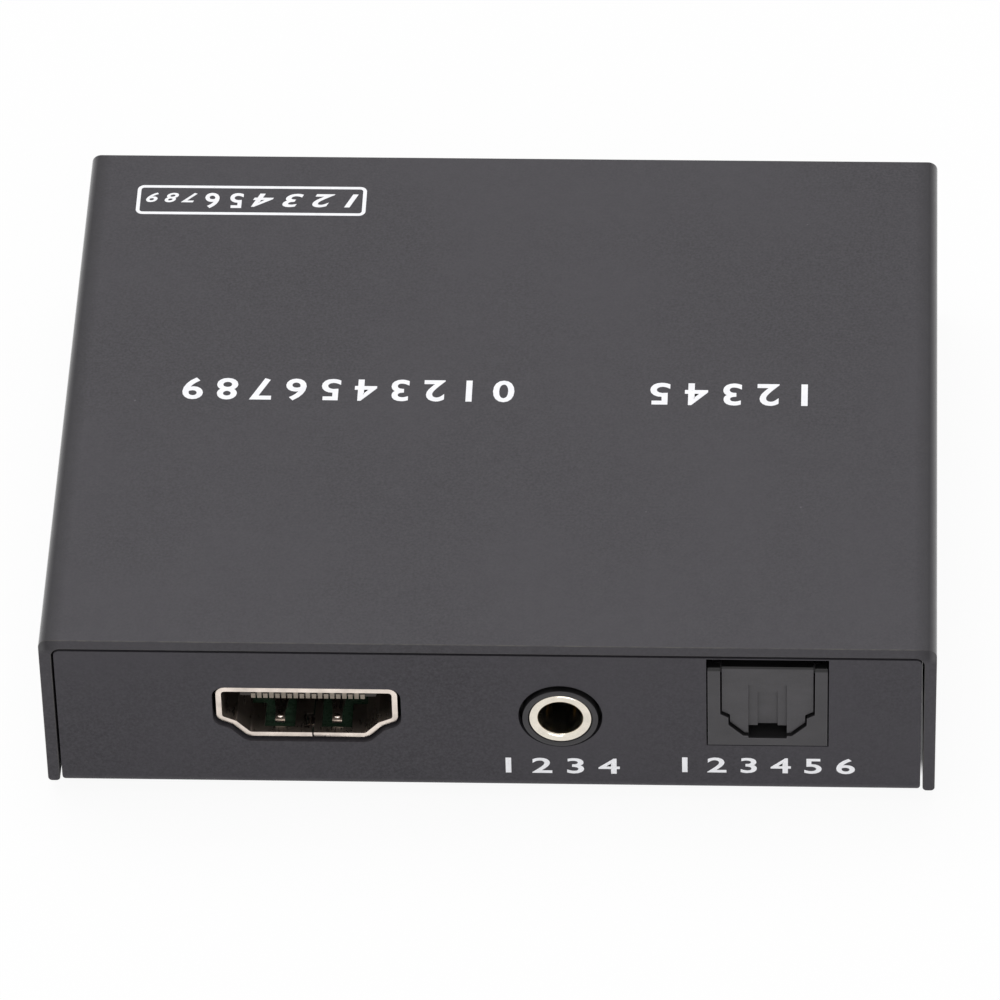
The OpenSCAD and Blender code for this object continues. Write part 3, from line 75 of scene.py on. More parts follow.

# Where a change in a finish starts and where it is full: the polish and the band of painted shade of the
# bends, inwards from the cover's side and down from its roof, and the painted shade behind a socket's mouth
# and behind a moulding's face
POLISH_ASIDE = (0.65 * MM, 0.25 * MM)
SHADE_BAND_ASIDE = (1.9 * MM, 0.7 * MM)
BEND_DOWN = (1.5 * MM, 1.0 * MM)
SHADE_BEHIND_MOUTH = (0.3 * MM, 1.5 * MM)
FACE_SHADE = (0.06 * MM, 0.14 * MM)

# Height of the strip of painted shade along the top of the optical socket, and half the blur of its lower
# edge
TOP_SHADE = 0.25 * MM
TOP_SHADE_BLUR = 0.03 * MM

# Feet: radius and rounding of the lower rim
FOOT_RADIUS = 4 * MM
FOOT_RIM = 0.5 * MM

# Headphone bush: radius of the bore, rounding of the outer rim and of the bore's entry
BUSH_BORE = 1.8 * MM
BUSH_RIM = 0.22 * MM
BUSH_ENTRY = 0.3 * MM

# Contact points pressed in the video sockets' fingers: radius, rise, distance beside the socket's middle,
# distance behind its mouth, and each row's name, height and way that it faces
DIMPLE_RADIUS = 0.3 * MM
DIMPLE_RISE = 0.15 * MM
DIMPLE_ASIDE = 2.35 * MM
DIMPLE_BEHIND = 1.6 * MM
DIMPLE_LEVELS = (("low", 7.22 * MM, 1), ("high", 11.16 * MM, -1))

# Print: added weight of the numerals on the front panel and on the roof, as shares of the face's size
FRONT_WEIGHT = 0.016
ROOF_WEIGHT = 0.02

# Printed frame: middle x, middle depth behind the front panel, width, height, corner radius and line
FRAME_PLACE = (-22.4 * MM, 55.1 * MM)
FRAME_WIDTH = 19.8 * MM
FRAME_HEIGHT = 3.8 * MM
FRAME_CORNER = 0.6 * MM
FRAME_LINE = 0.32 * MM

# Lamps, in metres: the side of each square soft box, its place and the point that it faces
KEY_BOX = (0.9, (-0.15, 0.25, 1.1), (0, 0, 0))
FILL_BOX = (0.8, (0.25, -1.1, 0.55), (0, 0, 0.01))

# Floor: how far it lies below the feet, its share of plain white where it is clear of the object, how far
# inside the cover's side and the tray's rear that share is full, and over what length it rises to that
FLOOR_DROP = 0.02 * MM
FLOOR_WHITE = 0.93
WHITE_ASIDE = (0.2 * MM, 0.3 * MM)
WHITE_ALONG = (2.6 * MM, 2.6 * MM)

# The photograph's camera, fitted to the case: its turn, tilt and roll in degrees, the case's place in
# its view in millimetres, its focal length in pixels, and where the fit's origin lies in this frame
VIEW_TURN = -3.29891572
VIEW_TILT = 42.68251555
VIEW_ROLL = -1.64095449
VIEW_PLACE = (-0.78347096, 23.57300468, 703.87468776)
VIEW_FOCAL = 8529.87
VIEW_ORIGIN = (0.0, -30.5, 1.2)
IMAGE_SIZE = 1000
SENSOR = 36.0


def low(node):
    """Lowest corner of a CAD node."""
    return np.array(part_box(node)[0])


def high(node):
    """Highest corner of a CAD node."""
    return np.array(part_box(node)[1])


def middle(node):
    """Middle of a CAD node's box."""
    return (low(node) + high(node)) / 2


class Graph:
    """Node tree of one material, with a call for each kind of node that the finishes use."""

    def __init__(self, name):
        self.material = bpy.data.materials.new(name)
        self.material.use_nodes = True
        self.tree = self.material.node_tree
        self.tree.nodes.clear()
        self.output = self.tree.nodes.new("ShaderNodeOutputMaterial")
        self.coords = self.tree.nodes.new("ShaderNodeTexCoord").outputs["Object"]

    def add(self, kind, inputs=(), **settings):
        """A node with its settings and with its inputs by name: a socket is linked, a value is set."""
        node = self.tree.nodes.new(kind)
        for key, value in settings.items():
            setattr(node, key, value)
        for key, value in dict(inputs).items():
            if isinstance(value, bpy.types.NodeSocket):
                self.tree.links.new(value, node.inputs[key])
            else:
                node.inputs[key].default_value = value
        return node

    def stretched(self, x, y, z):
        """Object coordinates scaled differently along each axis."""
        node = self.add("ShaderNodeMapping", {"Vector": self.coords})
        node.inputs["Scale"].default_value = (x, y, z)
        return node.outputs["Vector"]

    def noise(self, size, detail=2.0, rough=0.5, vector=None):
        """Noise whose lumps are about as wide as the size, in metres."""
        inputs = {"Vector": vector or self.coords, "Scale": 1 / size, "Detail": detail, "Roughness": rough}
        return self.add("ShaderNodeTexNoise", inputs).outputs["Fac"]

    def cells(self, size):
        """Distance to the nearest point of a scattered set, whose spacing is the size."""
        inputs = {"Vector": self.coords, "Scale": 1 / size}
        return self.add("ShaderNodeTexVoronoi", inputs).outputs["Distance"]

    def remap(self, value, from_low, from_high, to_low, to_high, smooth=False):
        """A value moved from one range to another and held inside it."""
        kind = "SMOOTHSTEP" if smooth else "LINEAR"
        names = ("Value", "From Min", "From Max", "To Min", "To Max")
        inputs = dict(zip(names, (value, from_low, from_high, to_low, to_high)))
        node = self.add("ShaderNodeMapRange", inputs, interpolation_type=kind, clamp=True)
        return node.outputs["Result"]

    def math(self, operation, first, second):
        """Sum, product or the like of two values."""
        node = self.add("ShaderNodeMath", {}, operation=operation)
        for socket, value in zip(node.inputs, (first, second)):
            if isinstance(value, bpy.types.NodeSocket):
                self.tree.links.new(value, socket)
            else:
                socket.default_value = value
        return node.outputs["Value"]

    def mix(self, share, first, second):
        """Colour between two colours."""
        node = self.add("ShaderNodeMix", {}, data_type="RGBA")
        for index, value in ((0, share), (6, first), (7, second)):
            if isinstance(value, bpy.types.NodeSocket):
                self.tree.links.new(value, node.inputs[index])
            else:
                node.inputs[index].default_value = value
        return node.outputs[2]

    def mark(self, name):
        """Share painted on the mesh under a name."""
        return self.add("ShaderNodeAttribute", {}, attribute_name=name).outputs["Fac"]

    def place(self, axis):
        """Distance along an axis, in metres."""
        return self.add("ShaderNodeSeparateXYZ", {"Vector": self.coords}).outputs[axis]

    def bump(self, height, depth, strength=1.0, below=None):
        """Normal bent by a height, whose full range is as deep as the depth, in metres."""
        inputs = {"Height": height, "Distance": depth, "Strength": strength}
        if below is not None:
            inputs["Normal"] = below
        return self.add("ShaderNodeBump", inputs).outputs["Normal"]

    def surface(self, colour, roughness, normal=None, **constants):
        """Closes the material with one Principled shader."""
        inputs = {"Base Color": colour, "Roughness": roughness}
        if normal is not None:
            inputs["Normal"] = normal
        inputs.update({key.replace("_", " "): value for key, value in constants.items()})
        shader = self.add("ShaderNodeBsdfPrincipled", inputs)
        self.tree.links.new(shader.outputs["BSDF"], self.output.inputs["Surface"])
        return self.material


def shade(colour, factor):
    """A colour made lighter or darker by a factor."""
    return tuple(min(1.0, channel * factor) for channel in tuple(colour)[:3]) + (1.0,)


def powder_coat(name, colour, worn, grain, bends=None):
    """Fine-grained powder coat: orange-peel grain, faint blotches, sparse dust and paint thinned at the
    edges. Along bends, given as how far out and how high they reach, it has a polished coat, with a band of
    painted shade beside it."""
    g = Graph(name)
    fine = g.noise(grain, 3.0, 0.6)
    coarse = g.noise(grain * 4, 2.0)
    blotch = g.noise(0.022, 2.0, 0.6)
    tone = g.mix(g.remap(fine, 0.3, 0.7, 0.0, 1.0), shade(colour, 0.68), shade(colour, 1.34))
    tone = g.mix(g.remap(blotch, 0.35, 0.65, 0.0, 0.7), tone, shade(colour, 1.2))
    dust = g.remap(g.cells(0.0021), 0.035, 0.05, 1.0, 0.0)
    rare = g.remap(g.noise(0.004), 0.62, 0.66, 0.0, 0.5)
    tone = g.mix(g.math("MULTIPLY", dust, rare), tone, shade(colour, 3.2))
    chips = g.remap(g.noise(0.0011, 4.0, 0.7), 0.35, 0.62, 0.15, 0.85)
    tone = g.mix(g.math("MULTIPLY", g.mark("edge"), chips), tone, worn)
    roughness = g.remap(coarse, 0.3, 0.7, 0.56, 0.63)
    normal = g.bump(coarse, grain * 0.08, 0.5, g.bump(fine, grain * 0.1, 0.75))
    if bends is None:
        return g.surface(tone, roughness, normal, Specular_IOR_Level=0.3)
    side, top = bends
    aside = g.math("ABSOLUTE", g.place("X"), 0.0)
    upper = g.remap(g.place("Z"), top - BEND_DOWN[0], top - BEND_DOWN[1], 0.0, 1.0)
    outer = g.remap(aside, side - POLISH_ASIDE[0], side - POLISH_ASIDE[1], 0.0, 1.0)
    polish = g.math("MULTIPLY", outer, upper)
    # Painted shade: a darker band beside the bends, under the roof
    shade_band = g.remap(aside, side - SHADE_BAND_ASIDE[0], side - SHADE_BAND_ASIDE[1], 0.0, 0.75)
    tone = g.mix(g.math("MULTIPLY", shade_band, upper), tone, shade(colour, 0.45))
    return g.surface(
        tone, roughness, normal, Specular_IOR_Level=0.3, Coat_Weight=polish, Coat_Roughness=0.16)


def plated_metal(name, colour, roughness, brushed=(1, 1, 1), tarnish=0.72, mouth=None):
    """Plated metal: drawing marks along one way, and smears that darken or lighten it in patches. Where a
    socket's mouth is given, as a distance from the case's middle, painted shade darkens it to brown-black
    behind that mouth, and its rounded edges are painted at seven tenths of its colour: a little darker at
    the mouth, and a painted highlight against the painted shade further in."""
    g = Graph(name)
    marks = g.noise(0.0002, 3.0, 0.65, g.stretched(*brushed))
    smear = g.noise(0.0016, 3.0, 0.6)
    tone = g.mix(g.remap(smear, 0.35, 0.7, 0.0, 1.0), colour, shade(colour, tarnish))
    if mouth is not None:
        # Painted shade: brown-black deeper behind the mouth, and a fixed tone at the rounded edges that is
        # lighter than that shade
        depth = g.math("ABSOLUTE", g.place("Y"), 0.0)
        shade_inside = g.remap(depth, mouth - SHADE_BEHIND_MOUTH[1], mouth - SHADE_BEHIND_MOUTH[0], 0.6, 0.0)
        tone = g.mix(shade_inside, tone, SOCKET_SHADE)
        tone = g.mix(g.math("MULTIPLY", g.mark("edge"), 0.6), tone, shade(colour, 0.7))
    rough = g.remap(g.math("ADD", marks, smear), 0.75, 1.3, roughness * 0.8, roughness * 1.3)
    return g.surface(tone, rough, g.bump(marks, 0.0000015, 0.6), Metallic=1.0)


def moulded(name, colour, roughness=0.45, texture=0.00012, face=None, top=None):
    """Moulded plastic: spark-eroded texture, faint flow marks and edges polished by handling. What lies
    behind a front face, or above a height, is darkened, as it is in the photograph's deep shadow."""
    g = Graph(name)
    fine = g.noise(texture, 3.0, 0.6)
    flow = g.noise(0.0035, 3.0, 0.55, g.stretched(1, 0.4, 2.2))
    tone = g.mix(g.remap(flow, 0.3, 0.7, 0.0, 1.0), shade(colour, 0.82), shade(colour, 1.15))
    tone = g.mix(g.remap(fine, 0.35, 0.7, 0.0, 0.3), tone, shade(colour, 1.5))
    tone = g.mix(g.math("MULTIPLY", g.mark("edge"), 0.45), tone, shade(colour, 1.9))
    if face is not None:
        # Painted shade on what lies behind the front face
        behind = g.remap(g.place("Y"), face + FACE_SHADE[0], face + FACE_SHADE[1], 0.0, 0.8)
        tone = g.mix(behind, tone, SHADOW)
    if top is not None:
        # Painted shade on what lies above the height
        above = g.remap(g.place("Z"), top - TOP_SHADE_BLUR, top + TOP_SHADE_BLUR, 0.0, 0.92)
        tone = g.mix(above, tone, SHADOW)
    rough = g.remap(flow, 0.3, 0.7, roughness * 0.85, roughness * 1.15)
    return g.surface(tone, rough, g.bump(fine, 0.000006, 0.7), Specular_IOR_Level=0.35)


def clear_resin(name, colour, roughness=0.12):
    """Tinted see-through resin with a faintly uneven skin."""
    g = Graph(name)
    flow = g.noise(0.0012, 2.0)
    tone = g.mix(g.remap(flow, 0.3, 0.7, 0.0, 1.0), shade(colour, 0.85), colour)
    rough = g.remap(flow, 0.3, 0.7, roughness * 0.7, roughness * 1.5)
    return g.surface(tone, rough, g.bump(flow, 0.00001, 0.4), Transmission_Weight=0.75, IOR=1.5)


def solder_mask(name, colour):
    """Green solder mask over copper tracks: a raised grid that breaks up, on a faint glass weave."""
    g = Graph(name)
    tracks = g.add(
        "ShaderNodeTexBrick",
        {"Vector": g.coords, "Scale": 260.0, "Mortar Size": 0.09, "Mortar Smooth": 0.2, "Bias": 0.0},
        offset=0.37,
        squash=1.7,
        squash_frequency=3,
    ).outputs["Fac"]
    pour = g.remap(g.noise(0.009, 1.0), 0.48, 0.52, 0.0, 1.0)
    raised = g.math("MULTIPLY", tracks, pour)
    weave = g.noise(0.0003, 2.0)
    tone = g.mix(raised, colour, shade(colour, 1.7))
    tone = g.mix(g.remap(weave, 0.3, 0.7, 0.0, 0.35), tone, shade(colour, 0.6))
    normal = g.bump(raised, 0.00002, 0.8, g.bump(weave, 0.000005, 0.5))
    rough = g.remap(weave, 0.3, 0.7, 0.22, 0.36)
    return g.surface(tone, rough, normal, Coat_Weight=0.3, Coat_Roughness=0.2)


def soft_rubber(name, colour):
    """Matte rubber with a pitted skin and pale dust in the pits."""
    g = Graph(name)
    pits = g.cells(0.0004)
    dust = g.remap(g.noise(0.0014, 4.0, 0.7), 0.45, 0.7, 0.0, 0.4)
    tone = g.mix(dust, colour, shade(colour, 3.5))
    return g.surface(tone, g.remap(pits, 0.0, 0.7, 0.9, 0.7), g.bump(pits, 0.00002, 0.6))


def screen_ink(name, colour):
    """White screen-printed ink: a thin film with the paint's grain in it, cloudy and with pinholes."""
    g = Graph(name)
    grain = g.noise(0.0002, 3.0, 0.6)
    film = g.noise(0.0009, 2.0)
    tone = g.mix(g.remap(film, 0.35, 0.7, 0.0, 0.5), colour, shade(colour, 0.86))
    tone = g.mix(g.remap(grain, 0.66, 0.74, 0.0, 0.55), tone, shade(colour, 0.45))
    return g.surface(tone, g.remap(grain, 0.3, 0.7, 0.45, 0.65), g.bump(grain, 0.00002, 0.6))


def speckled(name, colour, second, size, roughness=0.6):
    """Fired or sintered body: grains of two tones with a slightly pitted face."""
    g = Graph(name)
    grains = g.noise(size, 4.0, 0.7)
    tone = g.mix(g.remap(grains, 0.38, 0.62, 0.0, 1.0), colour, second)
    rough = g.remap(grains, 0.3, 0.7, roughness * 0.8, roughness * 1.2)
    return g.surface(tone, rough, g.bump(grains, 0.00001, 0.6))


def link_mesh(name, mesh, body, material, replaced=()):
    """Puts a mesh in the scene as a piece that rides on a body, with its finish and what it stands for."""
    piece = bpy.data.objects.new(name, mesh)
    bpy.context.scene.collection.objects.link(piece)
    mesh.materials.clear()
    mesh.materials.append(material)
    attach(piece, body)
    if replaced:
        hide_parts(*replaced)
    return piece


def is_sharp(edge):
    """Whether the two faces at an edge meet at a corner."""
    return edge.is_manifold and edge.calc_face_angle(0) > SHARP_ANGLE


def smooth(work):
    """Smooth shading on every face of a mesh in work, broken at its sharp edges."""
    for face in work.faces:
        face.smooth = True
    for edge in work.edges:
        edge.smooth = not is_sharp(edge)


def in_order(work):
    """Sorts the points, edges and faces of a mesh in work by place, because a bevel leaves them in an order
    that differs between runs."""
    for parts, key in (
        (work.verts, lambda vert: tuple(vert.co)),
        (work.edges, lambda edge: sorted(vert.index for vert in edge.verts)),
        (work.faces, lambda face: sorted(vert.index for vert in face.verts)),
    ):
        rank = {part: place for place, part in enumerate(sorted(parts, key=key))}
        parts.sort(key=rank.get)
        parts.index_update()


def tight_bends(points):
    """Draws the outside of the cover's two bends out to the tighter corner of the photograph: a point at
    axis + bend (cos a, sin a) goes to axis + (bend - corner) + corner (cos a, sin a)."""
    half, top = high("top_cover")[0], high("top_cover")[2]
    across = np.abs(points[:, 0]) - (half - COVER_BEND)
    up = points[:, 2] - (top - COVER_BEND)
    on_arc = np.abs(np.hypot(across, up) - COVER_BEND) < BEND_SLACK
    outside = (across > -MERGE) & (up > -MERGE) & on_arc
    shift = (COVER_BEND - COVER_CORNER) * (1 - np.stack([across, up], -1) / COVER_BEND)
    moved = points.copy()
    moved[outside, 0] += np.sign(points[outside, 0]) * shift[outside, 0]
    moved[outside, 2] += shift[outside, 1]
    return moved


def softened(name, node, width, body, material, segments=3, reshape=None):
    """Copy of a CAD node with its points moved by the reshape function, if there is one, its doubles
    merged, its flat faces joined and each sharp edge rounded by the width. The rounded strips carry the
    mark that the finishes read as an edge."""
    source = NODES[node].data
    points = np.empty(len(source.vertices) * 3)
    source.vertices.foreach_get("co", points)
    points = points.reshape(-1, 3)
    if reshape is not None:
        points = reshape(points)
    corners = np.empty(len(source.loops), int)
    source.loops.foreach_get("vertex_index", corners)
    mesh = bpy.data.meshes.new(name)
    mesh.from_pydata(points.tolist(), [], corners.reshape(-1, 3).tolist())
    work = bmesh.new()
    work.from_mesh(mesh)
    bmesh.ops.remove_doubles(work, verts=work.verts, dist=MERGE)
    bmesh.ops.dissolve_limit(work, angle_limit=FLAT_ANGLE, verts=work.verts, edges=work.edges)
    mark = work.faces.layers.float.new("edge")
    edges = [edge for edge in work.edges if is_sharp(edge)]
    done = bmesh.ops.bevel(
        work, geom=edges, offset=width, offset_type="OFFSET", segments=segments, profile=0.5,
        affect="EDGES", clamp_overlap=True, miter_outer="SHARP",
    )
    for face in done["faces"]:
        face[mark] = 1.0
    smooth(work)
    bmesh.ops.triangulate(work, faces=[face for face in work.faces if len(face.verts) > 4])
    in_order(work)
    work.to_mesh(mesh)
    work.free()
    piece = link_mesh(name, mesh, body, material, (node,))
    weighted = piece.modifiers.new("even_shading", "WEIGHTED_NORMAL")
    weighted.keep_sharp = True
    weighted.weight = 100
    return piece


def repaint(material, *nodes):
    """Gives CAD nodes a finish."""
    for node in nodes:
        mesh = NODES[node].data
        mesh.materials.clear()
        mesh.materials.append(material)


def grid_faces(rows, columns):
    """Quads of a grid of points that closes on itself along its columns."""
    row, column = np.meshgrid(np.arange(rows - 1), np.arange(columns), indexing="ij")
    first = row * columns + column
    second = row * columns + (column + 1) % columns
    return np.stack([first, second, second + columns, first + columns], -1).reshape(-1, 4)


def turned(name, profile, centre, axis, steps, body, material, replaced=()):
    """Solid of revolution: a closed profile of (radius, distance) pairs is turned about an axis, so that a
    point is centre + distance along the axis + radius times (cos, sin) of the angle across it."""
    profile = np.array(profile, float)
    angles = np.linspace(0, 2 * np.pi, steps, endpoint=False)
    axis = np.array(axis, float)
    side = np.cross(axis, (0, 0, 1)) if abs(axis[2]) < 0.9 else np.array((1.0, 0, 0))
    side = side / np.linalg.norm(side)
    across = np.cross(axis, side)
    ring = np.cos(angles)[:, None] * side + np.sin(angles)[:, None] * across
    grid = np.array(centre) + profile[:, None, 1:2] * axis + profile[:, None, 0:1] * ring
    count = len(profile)
    faces = grid_faces(count + 1, steps) % (count * steps)
    mesh = bpy.data.meshes.new(name)
    mesh.from_pydata(grid.reshape(-1, 3).tolist(), [], faces.tolist())
    return close_mesh(name, mesh, body, material, replaced)


def close_mesh(name, mesh, body, material, replaced=()):
    """Merges a mesh's poles, turns its faces outwards, shades it smooth and links it as a piece."""
    work = bmesh.new()
    work.from_mesh(mesh)
    bmesh.ops.remove_doubles(work, verts=work.verts, dist=MERGE)
    bmesh.ops.recalc_face_normals(work, faces=work.faces)
    smooth(work)
    work.to_mesh(mesh)
    work.free()
    return link_mesh(name, mesh, body, material, replaced)


def arc(centre, radius, start, end, steps):
    """Points of an arc in a profile, from one angle to another in degrees."""
    angles = np.radians(np.linspace(start, end, steps))
    return np.stack([centre[0] + radius * np.cos(angles), centre[1] + radius * np.sin(angles)], -1)


def frame_path(width, height, radius):
    """Rounded rectangle about the origin: quarter circles about the four inset corners, in order."""
    corners = [(1, 1, 0), (-1, 1, 90), (-1, -1, 180), (1, -1, 270)]
    parts = [
        arc((x * (width / 2 - radius), y * (height / 2 - radius)), radius, turn, turn + 90, 8)
        for x, y, turn in corners
    ]
    return np.concatenate(parts)


def strip_frame(name, thick, place, body, material):
    """Printed frame: a flat section is carried along a rounded rectangle, so that its four corners run
    along the outer rectangle and along the one a line's width inside it, at two heights."""
    outer = frame_path(FRAME_WIDTH, FRAME_HEIGHT, FRAME_CORNER)
    inner = frame_path(
        FRAME_WIDTH - 2 * FRAME_LINE, FRAME_HEIGHT - 2 * FRAME_LINE, FRAME_CORNER - FRAME_LINE)
    loops = [(outer, 0.0), (outer, thick), (inner, thick), (inner, 0.0)]
    grid = np.stack([np.column_stack([path, np.full(len(path), z)]) for path, z in loops])
    points = grid @ np.array(place.to_3x3()).T + np.array(place.translation)
    count = len(outer)
    faces = grid_faces(len(loops) + 1, count) % (len(loops) * count)
    mesh = bpy.data.meshes.new(name)
    mesh.from_pydata(points.reshape(-1, 3).tolist(), [], faces.tolist())
    return close_mesh(name, mesh, body, material)


def printed(name, words, size, weight, place, body, material, slant=0.0):
    """Numerals set in the plain built-in face, made a mesh, then fitted to a size at a place: each point's
    share of the text's box is scaled to the size and moved by the place."""
    curve = bpy.data.curves.new(name, "FONT")
    curve.body = words
    curve.shear = slant
    curve.offset = weight
    curve.extrude = 0.5
    curve.resolution_u = 4
    holder = bpy.data.objects.new(name + "_setting", curve)
    bpy.context.scene.collection.objects.link(holder)
    bpy.context.view_layer.update()
    graph = bpy.context.evaluated_depsgraph_get()
    mesh = bpy.data.meshes.new_from_object(holder.evaluated_get(graph))
    bpy.data.objects.remove(holder)
    bpy.data.curves.remove(curve)
    mesh.name = name
    points = np.empty(len(mesh.vertices) * 3, np.float32)
    mesh.vertices.foreach_get("co", points)
    points = points.reshape(-1, 3)
    lowest, highest = points.min(0), points.max(0)
    unit = (points - (lowest + highest) / 2) / (highest - lowest)
    placed = unit * size @ np.array(place.to_3x3()).T + np.array(place.translation)
    mesh.vertices.foreach_set("co", placed.astype(np.float32).ravel())
    return close_mesh(name, mesh, body, material)


class ExtractorSizes(bpy.types.PropertyGroup):
    """Sizes of the finish, in metres."""

    sheet_edge: bpy.props.FloatProperty(
        name="Sheet edge", description="Rounding of the painted sheet's cut edges", unit="LENGTH",
        default=0.16 * MM)
    mould_edge: bpy.props.FloatProperty(
        name="Mould edge", description="Rounding of the moulded plastics' edges", unit="LENGTH",
        default=0.07 * MM)
    plate_edge: bpy.props.FloatProperty(
        name="Plate edge", description="Rounding of the sockets' plated edges", unit="LENGTH",
        default=0.09 * MM)
    grain: bpy.props.FloatProperty(
        name="Grain", description="Width of the powder coat's grain", unit="LENGTH", default=0.22 * MM)
    ink: bpy.props.FloatProperty(
        name="Ink", description="Thickness of the printed ink", unit="LENGTH", default=0.012 * MM)


class ExtractorColours(bpy.types.PropertyGroup):
    """Colours of the finish."""

    cover: bpy.props.FloatVectorProperty(
        name="Cover", description="Paint of the folded cover", subtype="COLOR", size=4,
        default=(0.0415, 0.039, 0.0445, 1))
    tray: bpy.props.FloatVectorProperty(
        name="Tray", description="Paint of the tray and its panels", subtype="COLOR", size=4,
        default=(0.0382, 0.0357, 0.0418, 1))
    worn: bpy.props.FloatVectorProperty(
        name="Worn edge", description="Paint where it is thin over an edge", subtype="COLOR", size=4,
        default=(0.085, 0.08, 0.075, 1))
    ink: bpy.props.FloatVectorProperty(
        name="Ink", description="Printed marks", subtype="COLOR", size=4, default=(0.94, 0.94, 0.97, 1))
    plating: bpy.props.FloatVectorProperty(
        name="Plating", description="Nickel of the sockets", subtype="COLOR", size=4,
        default=(0.86, 0.76, 0.68, 1))
    plastic: bpy.props.FloatVectorProperty(
        name="Plastic", description="Moulded sockets", subtype="COLOR", size=4,
        default=(0.04, 0.038, 0.041, 1))
    board: bpy.props.FloatVectorProperty(
        name="Board", description="Solder mask", subtype="COLOR", size=4, default=(0.031, 0.06, 0.037, 1))


class ExtractorStudio(bpy.types.PropertyGroup):
    """Light and background of the studio."""

    key: bpy.props.FloatProperty(
        name="Key light", description="Power of the overhead soft box", default=8.0, unit="POWER")
    fill: bpy.props.FloatProperty(
        name="Fill light", description="Power of the soft box in front", default=4.6, unit="POWER")
    sky: bpy.props.FloatProperty(
        name="Sky", description="Level of the room's even light", default=0.42, subtype="FACTOR")
    floor: bpy.props.FloatProperty(
        name="Floor", description="Half width of the floor", default=3.0, unit="LENGTH")


class EXTRACTOR_OT_cover(bpy.types.Operator):
    """Finish the folded cover and its screws"""

    bl_idname = "extractor.cover"
    bl_label = "Cover"

    def execute(self, context):
        sizes, colours = context.scene.extractor_sizes, context.scene.extractor_colours
        bends = (high("top_cover")[0], high("top_cover")[2])
        paint = powder_coat("cover_paint", colours.cover, colours.worn, sizes.grain, bends)
        softened(
            "cover_sheet", "top_cover", sizes.sheet_edge, "case", paint, reshape=tight_bends)
        steel = plated_metal("black_steel", (0.05, 0.048, 0.047, 1), 0.38, tarnish=1.8)
        softened("cover_screw_heads", "cover_screws", sizes.mould_edge, "case", steel, 2)
        return {"FINISHED"}


class EXTRACTOR_OT_tray(bpy.types.Operator):
    """Finish the folded tray, the standoffs, the board screws and the feet"""

    bl_idname = "extractor.tray"
    bl_label = "Tray"

    def execute(self, context):
        sizes, colours = context.scene.extractor_sizes, context.scene.extractor_colours
        paint = powder_coat("tray_paint", colours.tray, colours.worn, sizes.grain)
        softened("tray_sheet", "base_tray", sizes.sheet_edge, "case", paint)
        zinc = plated_metal("zinc", (0.6, 0.6, 0.58, 1), 0.32)
        repaint(zinc, "board_standoffs", "board_screws", "mode_switch_frame", "crystal_can")
        self.feet(soft_rubber("foot_rubber", (0.02, 0.02, 0.021, 1)))
        return {"FINISHED"}

    def feet(self, rubber):
        """Four feet with a rolled lower rim, turned about the places of the CAD node's feet."""
        highest = high("rubber_feet")
        height = highest[2]
        profile = np.concatenate([
            [(0, height), (0, 0)],
            arc((FOOT_RADIUS - FOOT_RIM, FOOT_RIM), FOOT_RIM, -90, 0, 7),
            [(FOOT_RADIUS, height)],
        ])
        replaced = ("rubber_feet",)
        for index, (x, y) in enumerate(((-1, -1), (1, -1), (-1, 1), (1, 1))):
            name = f"foot_{index + 1}"
            place = (x * (highest[0] - FOOT_RADIUS), y * (highest[1] - FOOT_RADIUS), 0)
            turned(name, profile, place, (0, 0, 1), 48, "case", rubber, replaced)
            replaced = ()


class EXTRACTOR_OT_video_sockets(bpy.types.Operator):
    """Finish the two video sockets"""

    bl_idname = "extractor.video_sockets"
    bl_label = "Video sockets"

    def execute(self, context):
        sizes, colours = context.scene.extractor_sizes, context.scene.extractor_colours
        bright = plated_metal("dimple_nickel", colours.plating, 0.2)
        for way in ("out", "in"):
            shell = f"hdmi_{way}_shell"
            mouth = -low(shell)[1] if way == "out" else high(shell)[1]
            # Each shell's nickel carries painted shade behind its mouth
            nickel = plated_metal(f"shell_nickel_{way}", colours.plating, 0.3, (1, 0.08, 1), mouth=mouth)
            softened(f"video_{way}_shell", shell, sizes.plate_edge, "case", nickel, 2)
            self.dimples(way, shell, bright)
        resin = moulded("tongue_resin", (0.034, 0.029, 0.026, 1))
        repaint(resin, "hdmi_out_insulator", "hdmi_in_insulator")
        alloy = plated_metal("contact_alloy", (0.3, 0.26, 0.22, 1), 0.42)
        repaint(alloy, "hdmi_out_contacts", "hdmi_in_contacts")
        gold = plated_metal("contact_gold", (0.85, 0.68, 0.4, 1), 0.24)
        repaint(
            gold, "audio_jack_contacts", "power_jack_contact", "mode_switch_terminals", "mode_switch_wiper")
        return {"FINISHED"}

    def dimples(self, way, shell, nickel):
        """Pressed contact points of the four spring fingers: low domes on the fingers' knees, turned from a
        quarter of an ellipse over a short stem."""
        depth = low(shell)[1] + DIMPLE_BEHIND if way == "out" else high(shell)[1] - DIMPLE_BEHIND
        angles = np.linspace(0, np.pi / 2, 7)
        dome = np.stack([DIMPLE_RADIUS * np.cos(angles), DIMPLE_RISE * np.sin(angles)], -1)
        profile = np.concatenate([[(0, -DIMPLE_RISE), (DIMPLE_RADIUS, -DIMPLE_RISE)], dome])
        for side, aside in (("left", -DIMPLE_ASIDE), ("right", DIMPLE_ASIDE)):
            for level, z, up in DIMPLE_LEVELS:
                centre = (middle(shell)[0] + aside, depth, z)
                name = f"finger_dimple_{way}_{level}_{side}"
                turned(name, profile, centre, (0, 0, up), 24, "case", nickel)


